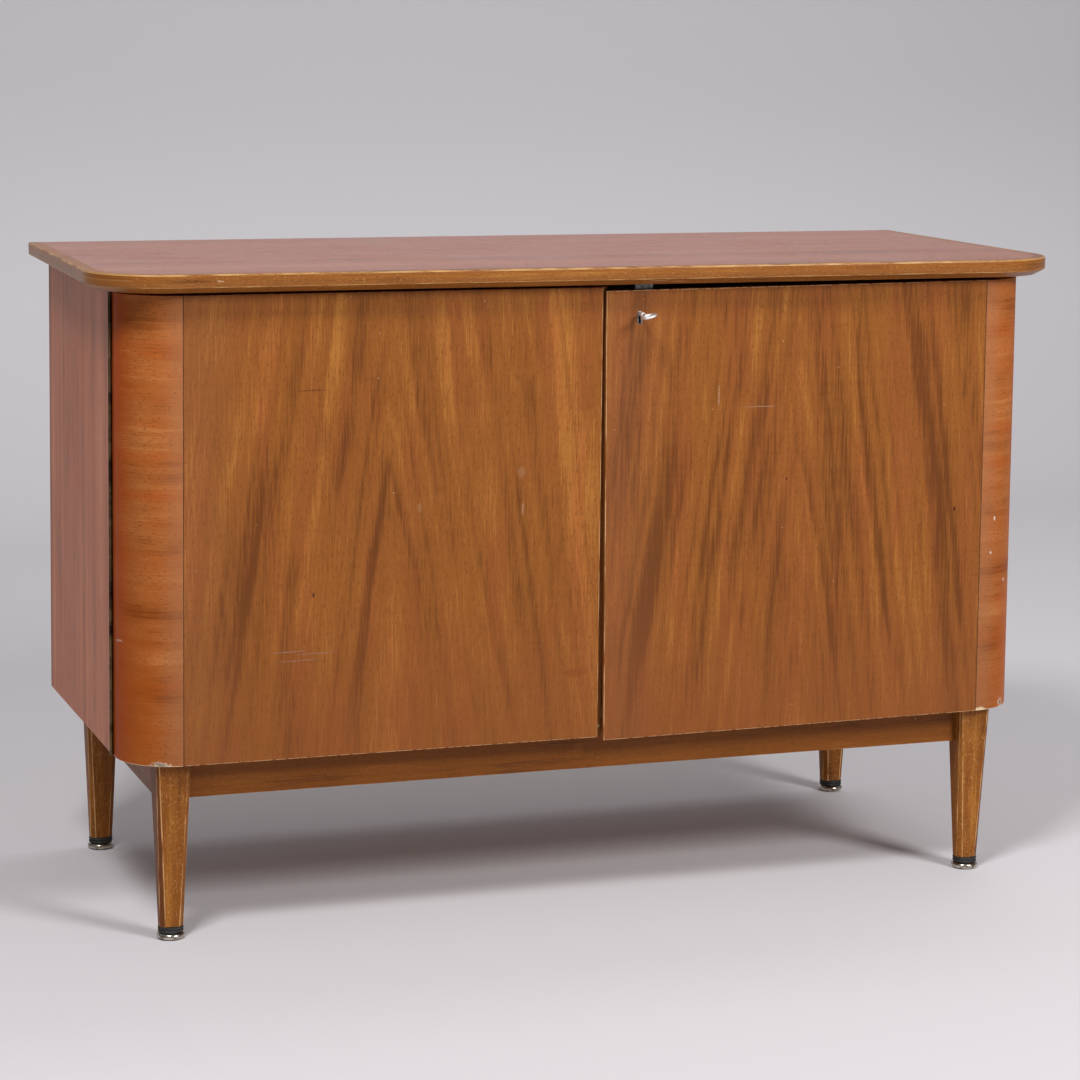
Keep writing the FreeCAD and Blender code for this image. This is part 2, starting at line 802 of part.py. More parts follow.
def apron_side(side):
    """Side rail of the underframe."""
    outer = half_body - side_apron_setback
    rail = apron(outer - apron_thickness, outer, leg_front_setback, leg_back_setback)
    return rail if side > 0 else mirrored(rail)


def corner_block_frames():
    """Inner corner of the aprons at each leg, with the directions into the frame."""
    inner_x = half_body - side_apron_setback - apron_thickness
    near = front_apron_setback + apron_thickness
    far = leg_back_setback + leg_front_setback - near
    return [(s * inner_x, depth, -s, into) for s in (-1, 1) for depth, into in ((near, 1), (far, -1))]


def corner_blocks():
    """Triangular blocks glued in the corners of the underframe."""
    blocks = []
    z0 = floor_clearance - corner_block_height
    for x, depth, dx, dy in corner_block_frames():
        y = behind(depth)
        tips = [V(x, y, z0), V(x + dx * corner_block_side, y, z0), V(x, y + dy * corner_block_side, z0)]
        solid = prism(Part.makePolygon(tips + tips[:1]), corner_block_height)
        tools = [leg_blank(px, pd) for px, pd in leg_places]
        blocks.append(solid.cut(tools + block_screws(True)))
    return Part.makeCompound(blocks)


def block_screws(as_holes):
    """Screws up through the corner blocks into the bottom panel, or their holes."""
    z0 = floor_clearance - corner_block_height
    screws = []
    for x, depth, dx, dy in corner_block_frames():
        px, pd = x + dx * block_screw_inset, depth + dy * block_screw_inset
        shank = rod(block_screw_radius, block_screw_length, px, pd, z0, V(0, 0, 1))
        if as_holes:
            screws.append(shank)
            continue
        head_z = z0 - block_screw_head_height
        head = rod(block_screw_head_radius, block_screw_head_height, px, pd, head_z, V(0, 0, 1))
        screws.append(shank.fuse(head).removeSplitter())
    return screws


# Glides

def turned(points, x, depth):
    """Solid of revolution about an upright axis, from (radius, height) corners."""
    rim = [V(x + radius, behind(depth), z) for radius, z in points]
    face = Part.Face(Part.makePolygon(rim + rim[:1]))
    return face.revolve(V(x, behind(depth), 0), V(0, 0, 1), 360)


def glide_cup(x, depth):
    """Nickelled cup with its nail."""
    nail_top = glide_height + glide_nail_length
    points = [(0, 0), (glide_flat_radius, 0), (glide_shoulder_radius, glide_shoulder_height)]
    points += [(glide_cup_radius, glide_band_start), (glide_cup_radius, glide_band_end)]
    points += [(glide_shoulder_radius, glide_cup_height)]
    points += [(glide_nail_radius, glide_cup_height), (glide_nail_radius, nail_top - glide_nail_radius)]
    points += [(0, nail_top)]
    return turned(points, x, depth)


def glide_ring(x, depth):
    """Rubber ring between the cup and the leg."""
    edge = glide_ring_edge
    low, high = glide_cup_height, glide_height
    points = [(glide_nail_radius, low), (glide_ring_radius - edge, low), (glide_ring_radius, low + edge)]
    points += [(glide_ring_radius, high - edge), (glide_ring_radius - edge, high), (glide_nail_radius, high)]
    return turned(points, x, depth)


def carcass_nodes():
    """Everything that stands still."""
    nodes = {"top_panel": top_panel(), "top_edge_lipping": top_edge_lipping()}
    nodes["bottom_panel"] = bottom_panel()
    nodes["back_panel"] = back_panel()
    nodes["centre_partition"] = centre_partition()
    nodes["top_rail_front"] = top_rail_front()
    nodes["top_rail_back"] = top_rail_back()
    nodes["top_cleats"] = top_cleats()
    nodes["cleat_screws"] = Part.makeCompound(cleat_screws(False))
    nodes["shelf_pins"] = shelf_pins()
    nodes["strike_plate"] = strike_plate()
    nodes["strike_screws"] = Part.makeCompound(strike_screws(False))
    nodes["catch_magnet"] = catch_magnet()
    nodes["magnet_screws"] = Part.makeCompound(magnet_screws(False))
    carcass_hinge_screws = hinge_screws(-1, 1) + hinge_screws(1, 1)
    nodes["hinge_screws_carcass"] = Part.makeCompound(carcass_hinge_screws)
    return nodes


def underframe_nodes():
    """Legs, aprons and glides."""
    nodes = {"apron_front": apron_front(), "apron_back": apron_back(), "corner_blocks": corner_blocks()}
    nodes["corner_block_screws"] = Part.makeCompound(block_screws(False))
    for (x, depth) in leg_places:
        row = "front" if depth == leg_front_setback else "back"
        hand = "left" if x < 0 else "right"
        nodes[f"leg_{row}_{hand}"] = leg(x, depth)
    nodes["glide_cups"] = Part.makeCompound([glide_cup(x, depth) for x, depth in leg_places])
    nodes["glide_rings"] = Part.makeCompound([glide_ring(x, depth) for x, depth in leg_places])
    return nodes


def sided_nodes():
    """Pieces that come as a left and a right one."""
    nodes = {}
    for hand, side in (("left", -1), ("right", 1)):
        nodes[f"side_panel_{hand}"] = side_panel(side)
        nodes[f"shelf_{hand}"] = shelf(side)
        nodes[f"apron_{hand}"] = apron_side(side)
        nodes[f"{hand}_door_corner"] = door_corner(side)
        nodes[f"{hand}_hinge_fixed_leaf"] = hinge_leaf(side, 1)
        nodes[f"{hand}_hinge_door_leaf"] = hinge_leaf(side, -1)
        nodes[f"{hand}_hinge_pin"] = hinge_pin(side)
        nodes[f"{hand}_hinge_screws_door"] = Part.makeCompound(hinge_screws(side, -1))
    return nodes


def door_nodes():
    """What the two doors carry, and the lock."""
    nodes = {"left_door_panel": left_door_panel(), "left_door_lip": left_door_lip()}
    nodes["catch_plate"] = catch_plate()
    nodes["catch_plate_screws"] = Part.makeCompound(catch_screws(False))
    nodes["right_door_panel"] = right_door_panel()
    nodes["lock_case"] = lock_case()
    nodes["lock_screws"] = Part.makeCompound(lock_screws(False))
    nodes["lock_bolt"] = lock_bolt()
    nodes["keyhole_liner"] = keyhole_liner()
    nodes["key"] = key()
    return nodes


os.makedirs("parts", exist_ok=True)
for group in (carcass_nodes(), underframe_nodes(), sided_nodes(), door_nodes()):
    for name, shape in group.items():
        shape.exportStep(f"parts/{name}.step")
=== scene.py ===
import math

import bmesh
import bpy
from mathutils import Matrix, Vector


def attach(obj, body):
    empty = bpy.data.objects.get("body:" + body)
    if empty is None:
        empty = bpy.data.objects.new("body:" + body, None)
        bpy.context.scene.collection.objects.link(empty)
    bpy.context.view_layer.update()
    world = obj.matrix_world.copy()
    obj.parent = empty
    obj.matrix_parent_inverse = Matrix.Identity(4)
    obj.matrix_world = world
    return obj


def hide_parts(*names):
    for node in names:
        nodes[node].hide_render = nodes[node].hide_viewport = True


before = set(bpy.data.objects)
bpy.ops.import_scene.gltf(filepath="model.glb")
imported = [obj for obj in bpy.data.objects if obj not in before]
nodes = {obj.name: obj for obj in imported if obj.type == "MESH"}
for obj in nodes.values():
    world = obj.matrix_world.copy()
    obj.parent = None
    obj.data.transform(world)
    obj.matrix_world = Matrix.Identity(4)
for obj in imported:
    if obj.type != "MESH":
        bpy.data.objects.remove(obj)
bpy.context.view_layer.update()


# Four legs of solid beech, sawn to a taper with chamfers that widen towards the foot.
# They are stained golden brown, and the stain has rubbed off along their arrises.
# The front legs' outward side faces are darker, partly from grime and partly as painted shade from the body
# above.

mm = 0.001
leg_names = ["leg_front_left", "leg_front_right", "leg_back_left", "leg_back_right"]
leg_arris = 0.8
leg_grime_and_shade = 0.65


def linear(hex_colour):
    """Linear red, green, blue and alpha of an sRGB hex colour."""
    shares = [int(hex_colour[i:i + 2], 16) / 255 for i in (1, 3, 5)]
    return [s / 12.92 if s <= 0.04045 else ((s + 0.055) / 1.055) ** 2.4 for s in shares] + [1.0]


def add(tree, kind, *feeds, named=(), **settings):
    """New node with its settings; feeds go into its enabled sockets in order, or by name."""
    made = tree.nodes.new(kind)
    for setting, value in settings.items():
        setattr(made, setting, value)
    enabled = [s for s in made.inputs if s.enabled]
    pairs = list(zip(enabled, feeds)) + [(made.inputs[key], feed) for key, feed in dict(named).items()]
    for socket, feed in pairs:
        if isinstance(feed, bpy.types.Node):
            feed = next(s for s in feed.outputs if s.enabled)
        if isinstance(feed, bpy.types.NodeSocket):
            tree.links.new(feed, socket)
        elif feed is not None:
            socket.default_value = feed
    return made


def new_material(name):
    """Empty material, its node tree and Object coordinates in millimetres."""
    material = bpy.data.materials.new(name)
    material.use_nodes = True
    tree = material.node_tree
    tree.nodes.clear()
    place = add(tree, "ShaderNodeTexCoord").outputs["Object"]
    return material, tree, add(tree, "ShaderNodeVectorMath", place, [1 / mm] * 3, operation="MULTIPLY")


def cells(tree, place, size, detail, seed):
    """Noise whose cells measure size along the axes of place, in millimetres."""
    roughness = 0.55
    scaled = add(tree, "ShaderNodeVectorMath", place, [1 / s for s in size], [seed] * 3,
                 operation="MULTIPLY_ADD")
    return add(tree, "ShaderNodeTexNoise", scaled, 1.0, detail, roughness)


def weighted(tree, base, *terms):
    """Sum of base and each (socket - 0.5) times its weight."""
    total = base
    for socket, weight in terms:
        centred = add(tree, "ShaderNodeMath", socket, 0.5, operation="SUBTRACT")
        total = add(tree, "ShaderNodeMath", centred, weight, total, operation="MULTIPLY_ADD")
    return total


def ramp(tree, value, low, high, start=0.0, end=1.0):
    """Value mapped smoothly from low..high to start..end."""
    return add(tree, "ShaderNodeMapRange", value, low, high, start, end, interpolation_type="SMOOTHSTEP")


def product(tree, total, *factors):
    """Product of two or more values."""
    for factor in factors:
        total = add(tree, "ShaderNodeMath", total, factor, operation="MULTIPLY")
    return total


def blend(tree, share, under, over, how="MIX"):
    """Colour over laid on colour under by share; either may be a hex colour."""
    pair = [linear(c) if isinstance(c, str) else c for c in (under, over)]
    return add(tree, "ShaderNodeMix", share, *pair, data_type="RGBA", blend_type=how)


def wood(tree, place, tones, worn, ring=30.0, band=1.0, streak=0.5, cloud=0.5, pore=0.3, fleck=0.0, rough=0.4,
         seed=0.0, figure=None, shade=None, speck=0.5, blush=None, films=(), grain_bump=0.3, shine=0.2):
    """Varnished wood with its grain along the Z of place; tones run from dark to light.

    ring is the width of its bands. band, streak, cloud, pore, fleck and speck say how strong each kind
    of mark is. figure bends the bands, shade darkens them and blush tints them in patches. films are
    (mask, colour) pairs laid on top, and worn is the pale colour of eased arrises: rubbed wood and, on
    some edges, a painted highlight.
    """
    bands = cells(tree, place if figure is None else figure, (ring, ring, 110 * ring), 2, seed)
    # Streaks, pores and flecks are drawn coarser than on real wood, so that they show.
    streaks = cells(tree, place, (1.9, 1.9, 60), 2, seed + 3)
    clouds = cells(tree, place, (45, 45, 150), 3, seed + 7)
    pores = cells(tree, place, (1.4, 1.4, 6), 1, seed + 11)
    tone = weighted(tree, 0.5, (bands, band), (streaks, streak), (clouds, cloud))
    if shade is not None:
        tone = add(tree, "ShaderNodeMath", tone, shade, operation="SUBTRACT")
    dark, middle, light = tones
    colour = blend(tree, ramp(tree, tone, 0.05, 0.5), dark, middle)
    colour = blend(tree, ramp(tree, tone, 0.5, 0.95), colour, light)
    if blush is not None:
        patch = cells(tree, place, (32, 32, 260), 2, seed + 13)
        colour = blend(tree, ramp(tree, patch, 0.42, 0.68, 0.0, 0.45), colour, blush, "COLOR")
    pore_mask = ramp(tree, pores, 0.55, 0.72, 0.0, pore)
    colour = blend(tree, pore_mask, colour, dark)
    if fleck:
        flecks = cells(tree, place, (1.3, 1.3, 4), 2, seed + 17)
        colour = blend(tree, ramp(tree, flecks, 0.56, 0.76, 0.0, fleck), colour, worn)
    grains = add(tree, "ShaderNodeTexVoronoi", place, 0.055)
    chosen = add(tree, "ShaderNodeSeparateColor", grains.outputs["Color"])
    dot = ramp(tree, grains.outputs["Distance"], 0.028, 0.05, 1.0, 0.0)
    dot = product(tree, dot, ramp(tree, chosen, 0.74, 0.8, 0.0, speck))
    colour = blend(tree, dot, colour, "#d9c0a0")
    for mask, film in films:
        colour = blend(tree, mask, colour, film)
    # The pale colour on eased arrises is rubbed wood, and on some edges also a painted highlight.
    arris = add(tree, "ShaderNodeAttribute", attribute_name="arris").outputs["Fac"]
    rub_and_highlight = cells(tree, place, (5, 5, 34), 3, seed + 23)
    rub_and_highlight = product(tree, arris, ramp(tree, rub_and_highlight, 0.34, 0.66))
    colour = blend(tree, rub_and_highlight, colour, worn)
    smear = cells(tree, place, (110, 110, 110), 2, seed + 29)
    gloss = weighted(tree, rough, (smear, 0.12), (streaks, 0.06))
    height = weighted(tree, 0.0, (streaks, 0.5), (pore_mask, -1.0))
    bump = add(tree, "ShaderNodeBump", named={
        "Height": height, "Strength": grain_bump, "Distance": 0.05 * mm})
    shader = add(tree, "ShaderNodeBsdfPrincipled", named={
        "Base Color": colour, "Roughness": gloss, "IOR": 1.45, "Specular IOR Level": shine, "Normal": bump})
    add(tree, "ShaderNodeOutputMaterial", shader)


def join_flats(shape):
    """Makes one face of neighbours that lie in one plane."""
    bmesh.ops.dissolve_limit(shape, angle_limit=math.radians(1), verts=shape.verts, edges=shape.edges)


def merged_copy(node_name):
    """Editable copy of a CAD solid's mesh, with its flat faces made whole."""
    shape = bmesh.new()
    shape.from_mesh(nodes[node_name].data)
    bmesh.ops.remove_doubles(shape, verts=shape.verts, dist=0.002 * mm)
    join_flats(shape)
    return shape


def ease_arrises(shape, width, least=3.0, sharpest=25, worn=1.0):
    """Rounds outer edges longer than least; worn says how pale they are, rubbed and on some edges a painted
    highlight, or finds it from a place.
    """
    layer = shape.faces.layers.float.get("arris") or shape.faces.layers.float.new("arris")
    wanted = []
    for edge in shape.edges:
        if len(edge.link_faces) != 2 or edge.calc_length() < least * mm:
            continue
        if edge.calc_face_angle_signed(0.0) > math.radians(sharpest):
            wanted.append(edge)
    made = bmesh.ops.bevel(shape, geom=wanted, offset=width * mm, offset_type="OFFSET", segments=2,
                           profile=0.5, affect="EDGES", clamp_overlap=False)
    for face in made["faces"]:
        face[layer] = worn(face.calc_center_median() / mm) if callable(worn) else worn


def write_mesh(mesh, shape, smooth=None):
    """Writes an edited shape into a mesh, shaded smooth up to an angle in degrees."""
    shape.to_mesh(mesh)
    shape.free()
    if smooth is not None:
        mesh.shade_smooth()
        mesh.set_sharp_from_angle(angle=math.radians(smooth))
    return mesh


def place_piece(name, mesh, body, node_name):
    """Object at the origin from a mesh, riding on its body in place of a CAD solid."""
    piece = bpy.data.objects.new(name, mesh)
    bpy.context.scene.collection.objects.link(piece)
    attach(piece, body)
    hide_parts(node_name)
    return piece


def make_piece(name, shape, body, material, node_name, smooth=None):
    """Piece in one material from an edited shape."""
    mesh = write_mesh(bpy.data.meshes.new(name), shape, smooth)
    mesh.materials.append(material)
    place_piece(name, mesh, body, node_name)


def eased_piece(node_name, width, body, slot, material, **options):
    """CAD solid with eased arrises, standing for the solid itself."""
    shape = merged_copy(node_name)
    ease_arrises(shape, width, **options)
    make_piece("eased_" + node_name, shape, body, material, node_name)


# Stained beech shows short pale flecks on a golden brown ground, and raw beech where it is rubbed.
stained_beech, tree, place = new_material("stained_beech")
darkening = add(tree, "ShaderNodeAttribute", attribute_name="darkening").outputs["Fac"]
wood(tree, place, ("#552c0a", "#834b16", "#a06626"), "#d0a06a", films=[(darkening, "#5a2a14")], ring=9, band=1.0,
     streak=0.6, cloud=1.0, pore=0.4, fleck=0.5, rough=0.48, seed=1.0)
for leg_name in leg_names:
    shape = merged_copy(leg_name)
    grime_and_shade_layer = shape.faces.layers.float.new("darkening")
    # The darkening of the front legs' outward faces is partly grime and partly painted shade.
    outward = -1 if leg_name.endswith("left") else 1
    for face in shape.faces:
        face[grime_and_shade_layer] = leg_grime_and_shade if "front" in leg_name and outward * face.normal.x > 0.3 else 0.0
    ease_arrises(shape, leg_arris, worn=0.9)
    make_piece("eased_" + leg_name, shape, "cabinet", stained_beech, leg_name)


# Four rails of the same beech between the legs, with triangular blocks glued in their corners.
# Each block takes one screw up into the floor of the body.

rail_arris = 0.7
rail_tones = ("#4a240a", "#7c4512", "#96591f")
rail_look = {"ring": 14, "band": 0.7, "streak": 0.6, "cloud": 0.7, "pore": 0.3, "fleck": 0.2, "rough": 0.42}


def board_wood(name, order, tones, worn, **look):
    """New varnished wood; order takes the axes in turn, and the grain runs along the last one."""
    material, tree, place = new_material(name)
    if order != "XYZ":
        parts = add(tree, "ShaderNodeSeparateXYZ", place)
        place = add(tree, "ShaderNodeCombineXYZ", *[parts.outputs[axis] for axis in order])
    wood(tree, place, tones, worn, **look)
    return material


# The rails are of the legs' stained beech, a little darker and cleaner.
beech_along_x = board_wood("stained_beech_rail", "ZYX", rail_tones, "#b98350", seed=2.0, **rail_look)
beech_along_y = board_wood("stained_beech_side_rail", "ZXY", rail_tones, "#b98350", seed=2.5, **rail_look)
for rail_name, rail_beech, worn in (
        ("apron_front", beech_along_x, 0.7), ("apron_back", beech_along_x, 0.7),
        ("apron_left", beech_along_y, 0.5), ("apron_right", beech_along_y, 0.5),
        ("corner_blocks", beech_along_x, 0.3)):
    eased_piece(rail_name, rail_arris, "cabinet", "underframe_wood", rail_beech, worn=worn)


def metal(name, colour, tarnish, rough, patch):
    """Metal with patches of tarnish and fine rubbing marks; patch is their size in millimetres."""
    material, tree, place = new_material(name)
    blotches = cells(tree, place, (patch, patch, patch), 4, 0.7)
    # Rubbing marks are drawn wider than real ones, so that they show.
    rubs = cells(tree, place, (0.6, 0.6, 5), 2, 4.1)
    tint = blend(tree, ramp(tree, blotches, 0.42, 0.66), colour, tarnish)
    gloss = weighted(tree, rough, (blotches, 0.3), (rubs, 0.15))
    bump = add(tree, "ShaderNodeBump", named={"Height": rubs, "Strength": 0.2, "Distance": 0.02 * mm})
    shader = add(tree, "ShaderNodeBsdfPrincipled", named={
        "Base Color": tint, "Metallic": 1.0, "Roughness": gloss, "Normal": bump})
    add(tree, "ShaderNodeOutputMaterial", shader)
    return material


# Bright zinc-plated steel has gone slightly grey and dull.
plated_steel = metal("zinc_plated_steel", "#a9a6a0", "#6d6964", rough=0.38, patch=6)


def circle(steps):
    """Angles spread evenly round a circle."""
    return [2 * math.pi * i / steps for i in range(steps)]


def bridge(shape, loops, closed=False):
    """Faces between successive loops of vertices, of which any may be a single point."""
    following = loops[1:] + loops[:1] if closed else loops[1:]
    for here, there in zip(loops, following):
        steps = max(len(here), len(there))
        for i in range(steps):
            j = (i + 1) % steps
            ends = [here[i % len(here)], here[j % len(here)], there[j % len(there)], there[i % len(there)]]
            corners = list(dict.fromkeys(ends))
            if len(corners) > 2:
                shape.faces.new(corners)
    bmesh.ops.recalc_face_normals(shape, faces=shape.faces)


def revolved(profile, steps=24):
    """Closed mesh turned about Z from (radius, height) pairs in millimetres."""
    shape = bmesh.new()
    loops = []
    for radius, height in profile:
        turns = circle(steps if radius else 1)
        corners = [(radius * math.cos(turn), radius * math.sin(turn), height) for turn in turns]
        loops.append([shape.verts.new([c * mm for c in corner]) for corner in corners])
    bridge(shape, loops)
    return shape


def model_of(name, shape):
    """Object that Geometry Nodes repeat; it is never shown itself."""
    return bpy.data.objects.new(name, write_mesh(bpy.data.meshes.new(name), shape, smooth=30))


def screw_model(name, head_radius, head_height, shank_radius, length, raised=False):
    """Slotted screw driven along Z from z = 0; a raised head stands out below it."""
    flat = 0.82 * head_radius if raised else head_radius - 0.1
    face = -head_height if raised else 0.0
    under = 0.0 if raised else head_height
    tip = 1.5
    profile = [(0, face), (flat, face)]
    if raised:
        profile += [(0.95 * head_radius, 0.7 * face), (head_radius, 0.3 * face), (head_radius, 0)]
    else:
        profile += [(head_radius, 0.15)]
    profile += [(shank_radius, under), (shank_radius, length - tip), (0, length)]
    shape = revolved(profile)
    slot_half, slot_deep = 0.16 * head_radius, 0.28 * head_radius

    def head_faces(reach):
        """Flat faces of the head whose middles are within reach of the slot's middle line."""
        middles = [(f, f.calc_center_median() / mm) for f in shape.faces]
        return [f for f, at in middles if abs(at.z - face) < 0.001 and abs(at.y) < reach]

    for way in (-1, 1):
        disc = head_faces(head_radius)
        around = {e for f in disc for e in f.edges} | {v for f in disc for v in f.verts}
        bmesh.ops.bisect_plane(shape, geom=disc + list(around), plane_co=(0, way * slot_half * mm, 0),
                               plane_no=(0, 1, 0))
    groove = head_faces(slot_half)
    sunk = bmesh.ops.extrude_face_region(shape, geom=groove)
    bmesh.ops.delete(shape, geom=groove, context="FACES_ONLY")
    for vert in [v for v in sunk["geom"] if isinstance(v, bmesh.types.BMVert)]:
        vert.co.z += slot_deep * mm
    bmesh.ops.recalc_face_normals(shape, faces=shape.faces)
    return model_of(name, shape)


def new_group(name, inputs):
    """Geometry Nodes group with named inputs and one output; gives it and its input sockets."""
    group = bpy.data.node_groups.new(name, "GeometryNodeTree")
    for label, kind in inputs.items():
        group.interface.new_socket(label, in_out="INPUT", socket_type="NodeSocket" + kind)
    group.interface.new_socket("Geometry", in_out="OUTPUT", socket_type="NodeSocketGeometry")
    return group, group.nodes.new("NodeGroupInput").outputs


def end_group(group, geometry, material):
    """Ends a group with real geometry in one material."""
    real = add(group, "GeometryNodeRealizeInstances", geometry)
    painted = add(group, "GeometryNodeSetMaterial", named={"Geometry": real, "Material": material})
    add(group, "NodeGroupOutput", painted)


repeat_group, given = new_group("set_on_points", {
    "Points": "Geometry", "Model": "Object", "Twist": "Float", "Seed": "Int", "Material": "Material"})
source = add(repeat_group, "GeometryNodeObjectInfo", named={"Object": given["Model"], "As Instance": True})
aim = add(repeat_group, "GeometryNodeInputNamedAttribute", "aim", data_type="FLOAT_VECTOR")
aim = add(repeat_group, "FunctionNodeEulerToRotation", aim)
on_points = add(repeat_group, "GeometryNodeInstanceOnPoints", named={
    "Points": given["Points"], "Instance": source.outputs["Geometry"], "Rotation": aim})
chance = add(repeat_group, "FunctionNodeRandomValue", None, given["Twist"], None, given["Seed"],
             data_type="FLOAT")
twist = add(repeat_group, "ShaderNodeCombineXYZ", 0.0, 0.0, chance)
twisted = add(repeat_group, "GeometryNodeRotateInstances", named={
    "Instances": on_points, "Rotation": twist, "Local Space": True})
end_group(repeat_group, twisted, given["Material"])


def grown(name, mesh, group, values, body, node_name):
    """Piece that a Geometry Nodes group makes from a mesh, kept as a plain mesh."""
    start = bpy.data.objects.new(name + "_start", mesh)
    bpy.context.scene.collection.objects.link(start)
    modifier = start.modifiers.new("grow", "NODES")
    modifier.node_group = group
    for item in group.interface.items_tree:
        if item.in_out == "INPUT" and item.name in values:
            modifier[item.identifier] = values[item.name]
    graph = bpy.context.evaluated_depsgraph_get()
    made = bpy.data.meshes.new_from_object(start.evaluated_get(graph), preserve_all_data_layers=True,
                                           depsgraph=graph)
    bpy.data.objects.remove(start)
    made.materials.clear()
    made.materials.append(values["Material"])
    made.polygons.foreach_set("material_index", [0] * len(made.polygons))
    return place_piece(name, made, body, node_name)


def repeated(name, model, seats, body, slot, material, node_name, twist=math.pi, seed=1):
    """One model on each seat, given as (place in millimetres, direction of the model's Z)."""
    mesh = bpy.data.meshes.new(name)
    mesh.from_pydata([Vector(at) * mm for at, _ in seats], [], [])
    aims = mesh.attributes.new("aim", "FLOAT_VECTOR", "POINT")
    for point, (_, towards) in zip(aims.data, seats):
        point.vector = Vector((0, 0, 1)).rotation_difference(Vector(towards)).to_euler()
    values = {"Model": model, "Twist": twist, "Seed": seed, "Material": material}
    grown(name, mesh, repeat_group, values, body, node_name)


def loose_boxes(node_name):
    """Lowest and highest corner, in millimetres, of each separate solid in a CAD node."""
    shape = merged_copy(node_name)
    left, boxes = set(shape.verts), []
    while left:
        todo = [left.pop()]
        solid = []
        while todo:
            vert = todo.pop()
            solid.append(vert.co / mm)
            near = [e.other_vert(vert) for e in vert.link_edges]
            todo += [v for v in near if v in left]
            left -= set(near)
        boxes.append([Vector([pick(p[k] for p in solid) for k in range(3)]) for pick in (min, max)])
    shape.free()
    return boxes


def replace_each(name, model, node_name, aim, body, slot, material, raised=0.0, **options):
    """A model for each solid in a CAD node, driven along aim, or along what aim finds from its box."""
    seats = []
    for low, high in loose_boxes(node_name):
        towards = Vector(aim(low, high) if callable(aim) else aim)
        reach = sum(abs(towards[k]) * (high[k] - low[k]) / 2 for k in range(3))
        seats.append(((low + high) / 2 - towards * (reach - raised), towards))
    repeated(name, model, seats, body, slot, material, node_name, **options)


def steel_screws(name, node_name, aim, body, head_radius, head_height, shank_radius, length, raised=False):
    """Plated screws for those in a CAD node."""
    model = screw_model(name + "_model", head_radius, head_height, shank_radius, length, raised)
    replace_each(name, model, node_name, aim, body, "screw_steel", plated_steel,
                 raised=head_height if raised else 0.0)


steel_screws("block_screws", "corner_block_screws", (0, 0, 1), "cabinet", head_radius=5, head_height=3,
             shank_radius=2.5, length=38, raised=True)


# Under each leg a nickelled steel cup with a rolled rim is nailed on, with a black rubber ring above it.
# The plating is bright, with brown patches of dried floor polish. The rubber is dusty.

nickelled_steel = metal("nickelled_steel", "#c6beb2", "#7a6650", rough=0.22, patch=5)
black_rubber, tree, place = new_material("black_rubber")
dust = cells(tree, place, (3, 3, 3), 4, 0.2)
tint = blend(tree, ramp(tree, dust, 0.45, 0.75), "#141312", "#3a3632")
bump = add(tree, "ShaderNodeBump", named={"Height": dust, "Strength": 0.3, "Distance": 0.1 * mm})
shader = add(tree, "ShaderNodeBsdfPrincipled", named={"Base Color": tint, "Roughness": 0.62, "Normal": bump})
add(tree, "ShaderNodeOutputMaterial", shader)

cup_profile = [(0, 0), (12.0, 0), (13.6, 0.3), (15.0, 1.1), (16.0, 2.3), (16.45, 3.6), (16.45, 4.6),
               (16.0, 5.9), (15.2, 6.9), (14.2, 7.6), (13.0, 8.0), (1.25, 8.0), (1.25, 32.0), (0, 35.2)]
ring_profile = [(0, 0), (13.4, 0), (14.6, 0.5), (15.0, 1.3), (14.9, 2.6), (14.1, 3.6), (14.9, 4.6),
                (15.0, 6.0), (14.6, 6.8), (13.4, 7.2), (0, 7.2)]
glide_steps = 40
cup = model_of("glide_cup", revolved(cup_profile, glide_steps))
ring = model_of("glide_ring", revolved(ring_profile, glide_steps))
replace_each("foot_cups", cup, "glide_cups", (0, 0, 1), "cabinet", "glide_nickel", nickelled_steel, twist=0.0)
replace_each("foot_rings", ring, "glide_rings", (0, 0, 1), "cabinet", "glide_rubber", black_rubber, twist=0.0)


# The body inside is built of veneered board: floor, partition, rails and loose shelves.
# Beech cleats screw it to the top. The board's edges are plain and matt, lighter than the outside.

inside_tones = ("#774820", "#9b6434", "#b07843")
inside_look = {"ring": 12, "band": 1.1, "cloud": 0.8, "pore": 0.5, "rough": 0.5, "speck": 0.2}
inside_arris = 0.6
board_arris = {"least": 8.0, "sharpest": 60, "worn": 0.3}
inside_along_x = board_wood("inside_veneer_level", "YZX", inside_tones, "#c39a68", seed=4.0, **inside_look)
inside_upright = board_wood("inside_veneer_upright", "XYZ", inside_tones, "#c39a68", seed=4.5, **inside_look)
# The rail behind the doors' top edges is painted nearly black, as painted shade for the deep shadow in the
# gap above the doors.
rail_in_painted_shade = board_wood("rail_painted_as_shade", "ZYX", ("#140a04", "#241309", "#33200f"), "#4a3018", ring=12,
                       rough=0.6, seed=4.8, speck=0.0, shine=0.1)
for board_name, board in (
        ("top_rail_front", rail_in_painted_shade), ("bottom_panel", inside_along_x), ("top_rail_back", inside_along_x),
        ("shelf_left", inside_along_x), ("shelf_right", inside_along_x), ("centre_partition", inside_upright),
        ("top_cleats", beech_along_y)):
    eased_piece(board_name, inside_arris, "cabinet", "carcass_wood", board, **board_arris)

# Old brass, brown and dull, is turned into pins that the shelves lie on.
old_brass = metal("dulled_brass", "#957a4c", "#6b5434", rough=0.4, patch=30)
pin_profile = [(0, 0), (2.0, 0), (2.5, 0.5), (2.5, 15.5), (2.0, 16.0), (0, 16.0)]
shelf_pin = model_of("shelf_pin", revolved(pin_profile))
replace_each("turned_shelf_pins", shelf_pin, "shelf_pins", (1, 0, 0), "cabinet", "screw_brass", old_brass,
             twist=0.0)


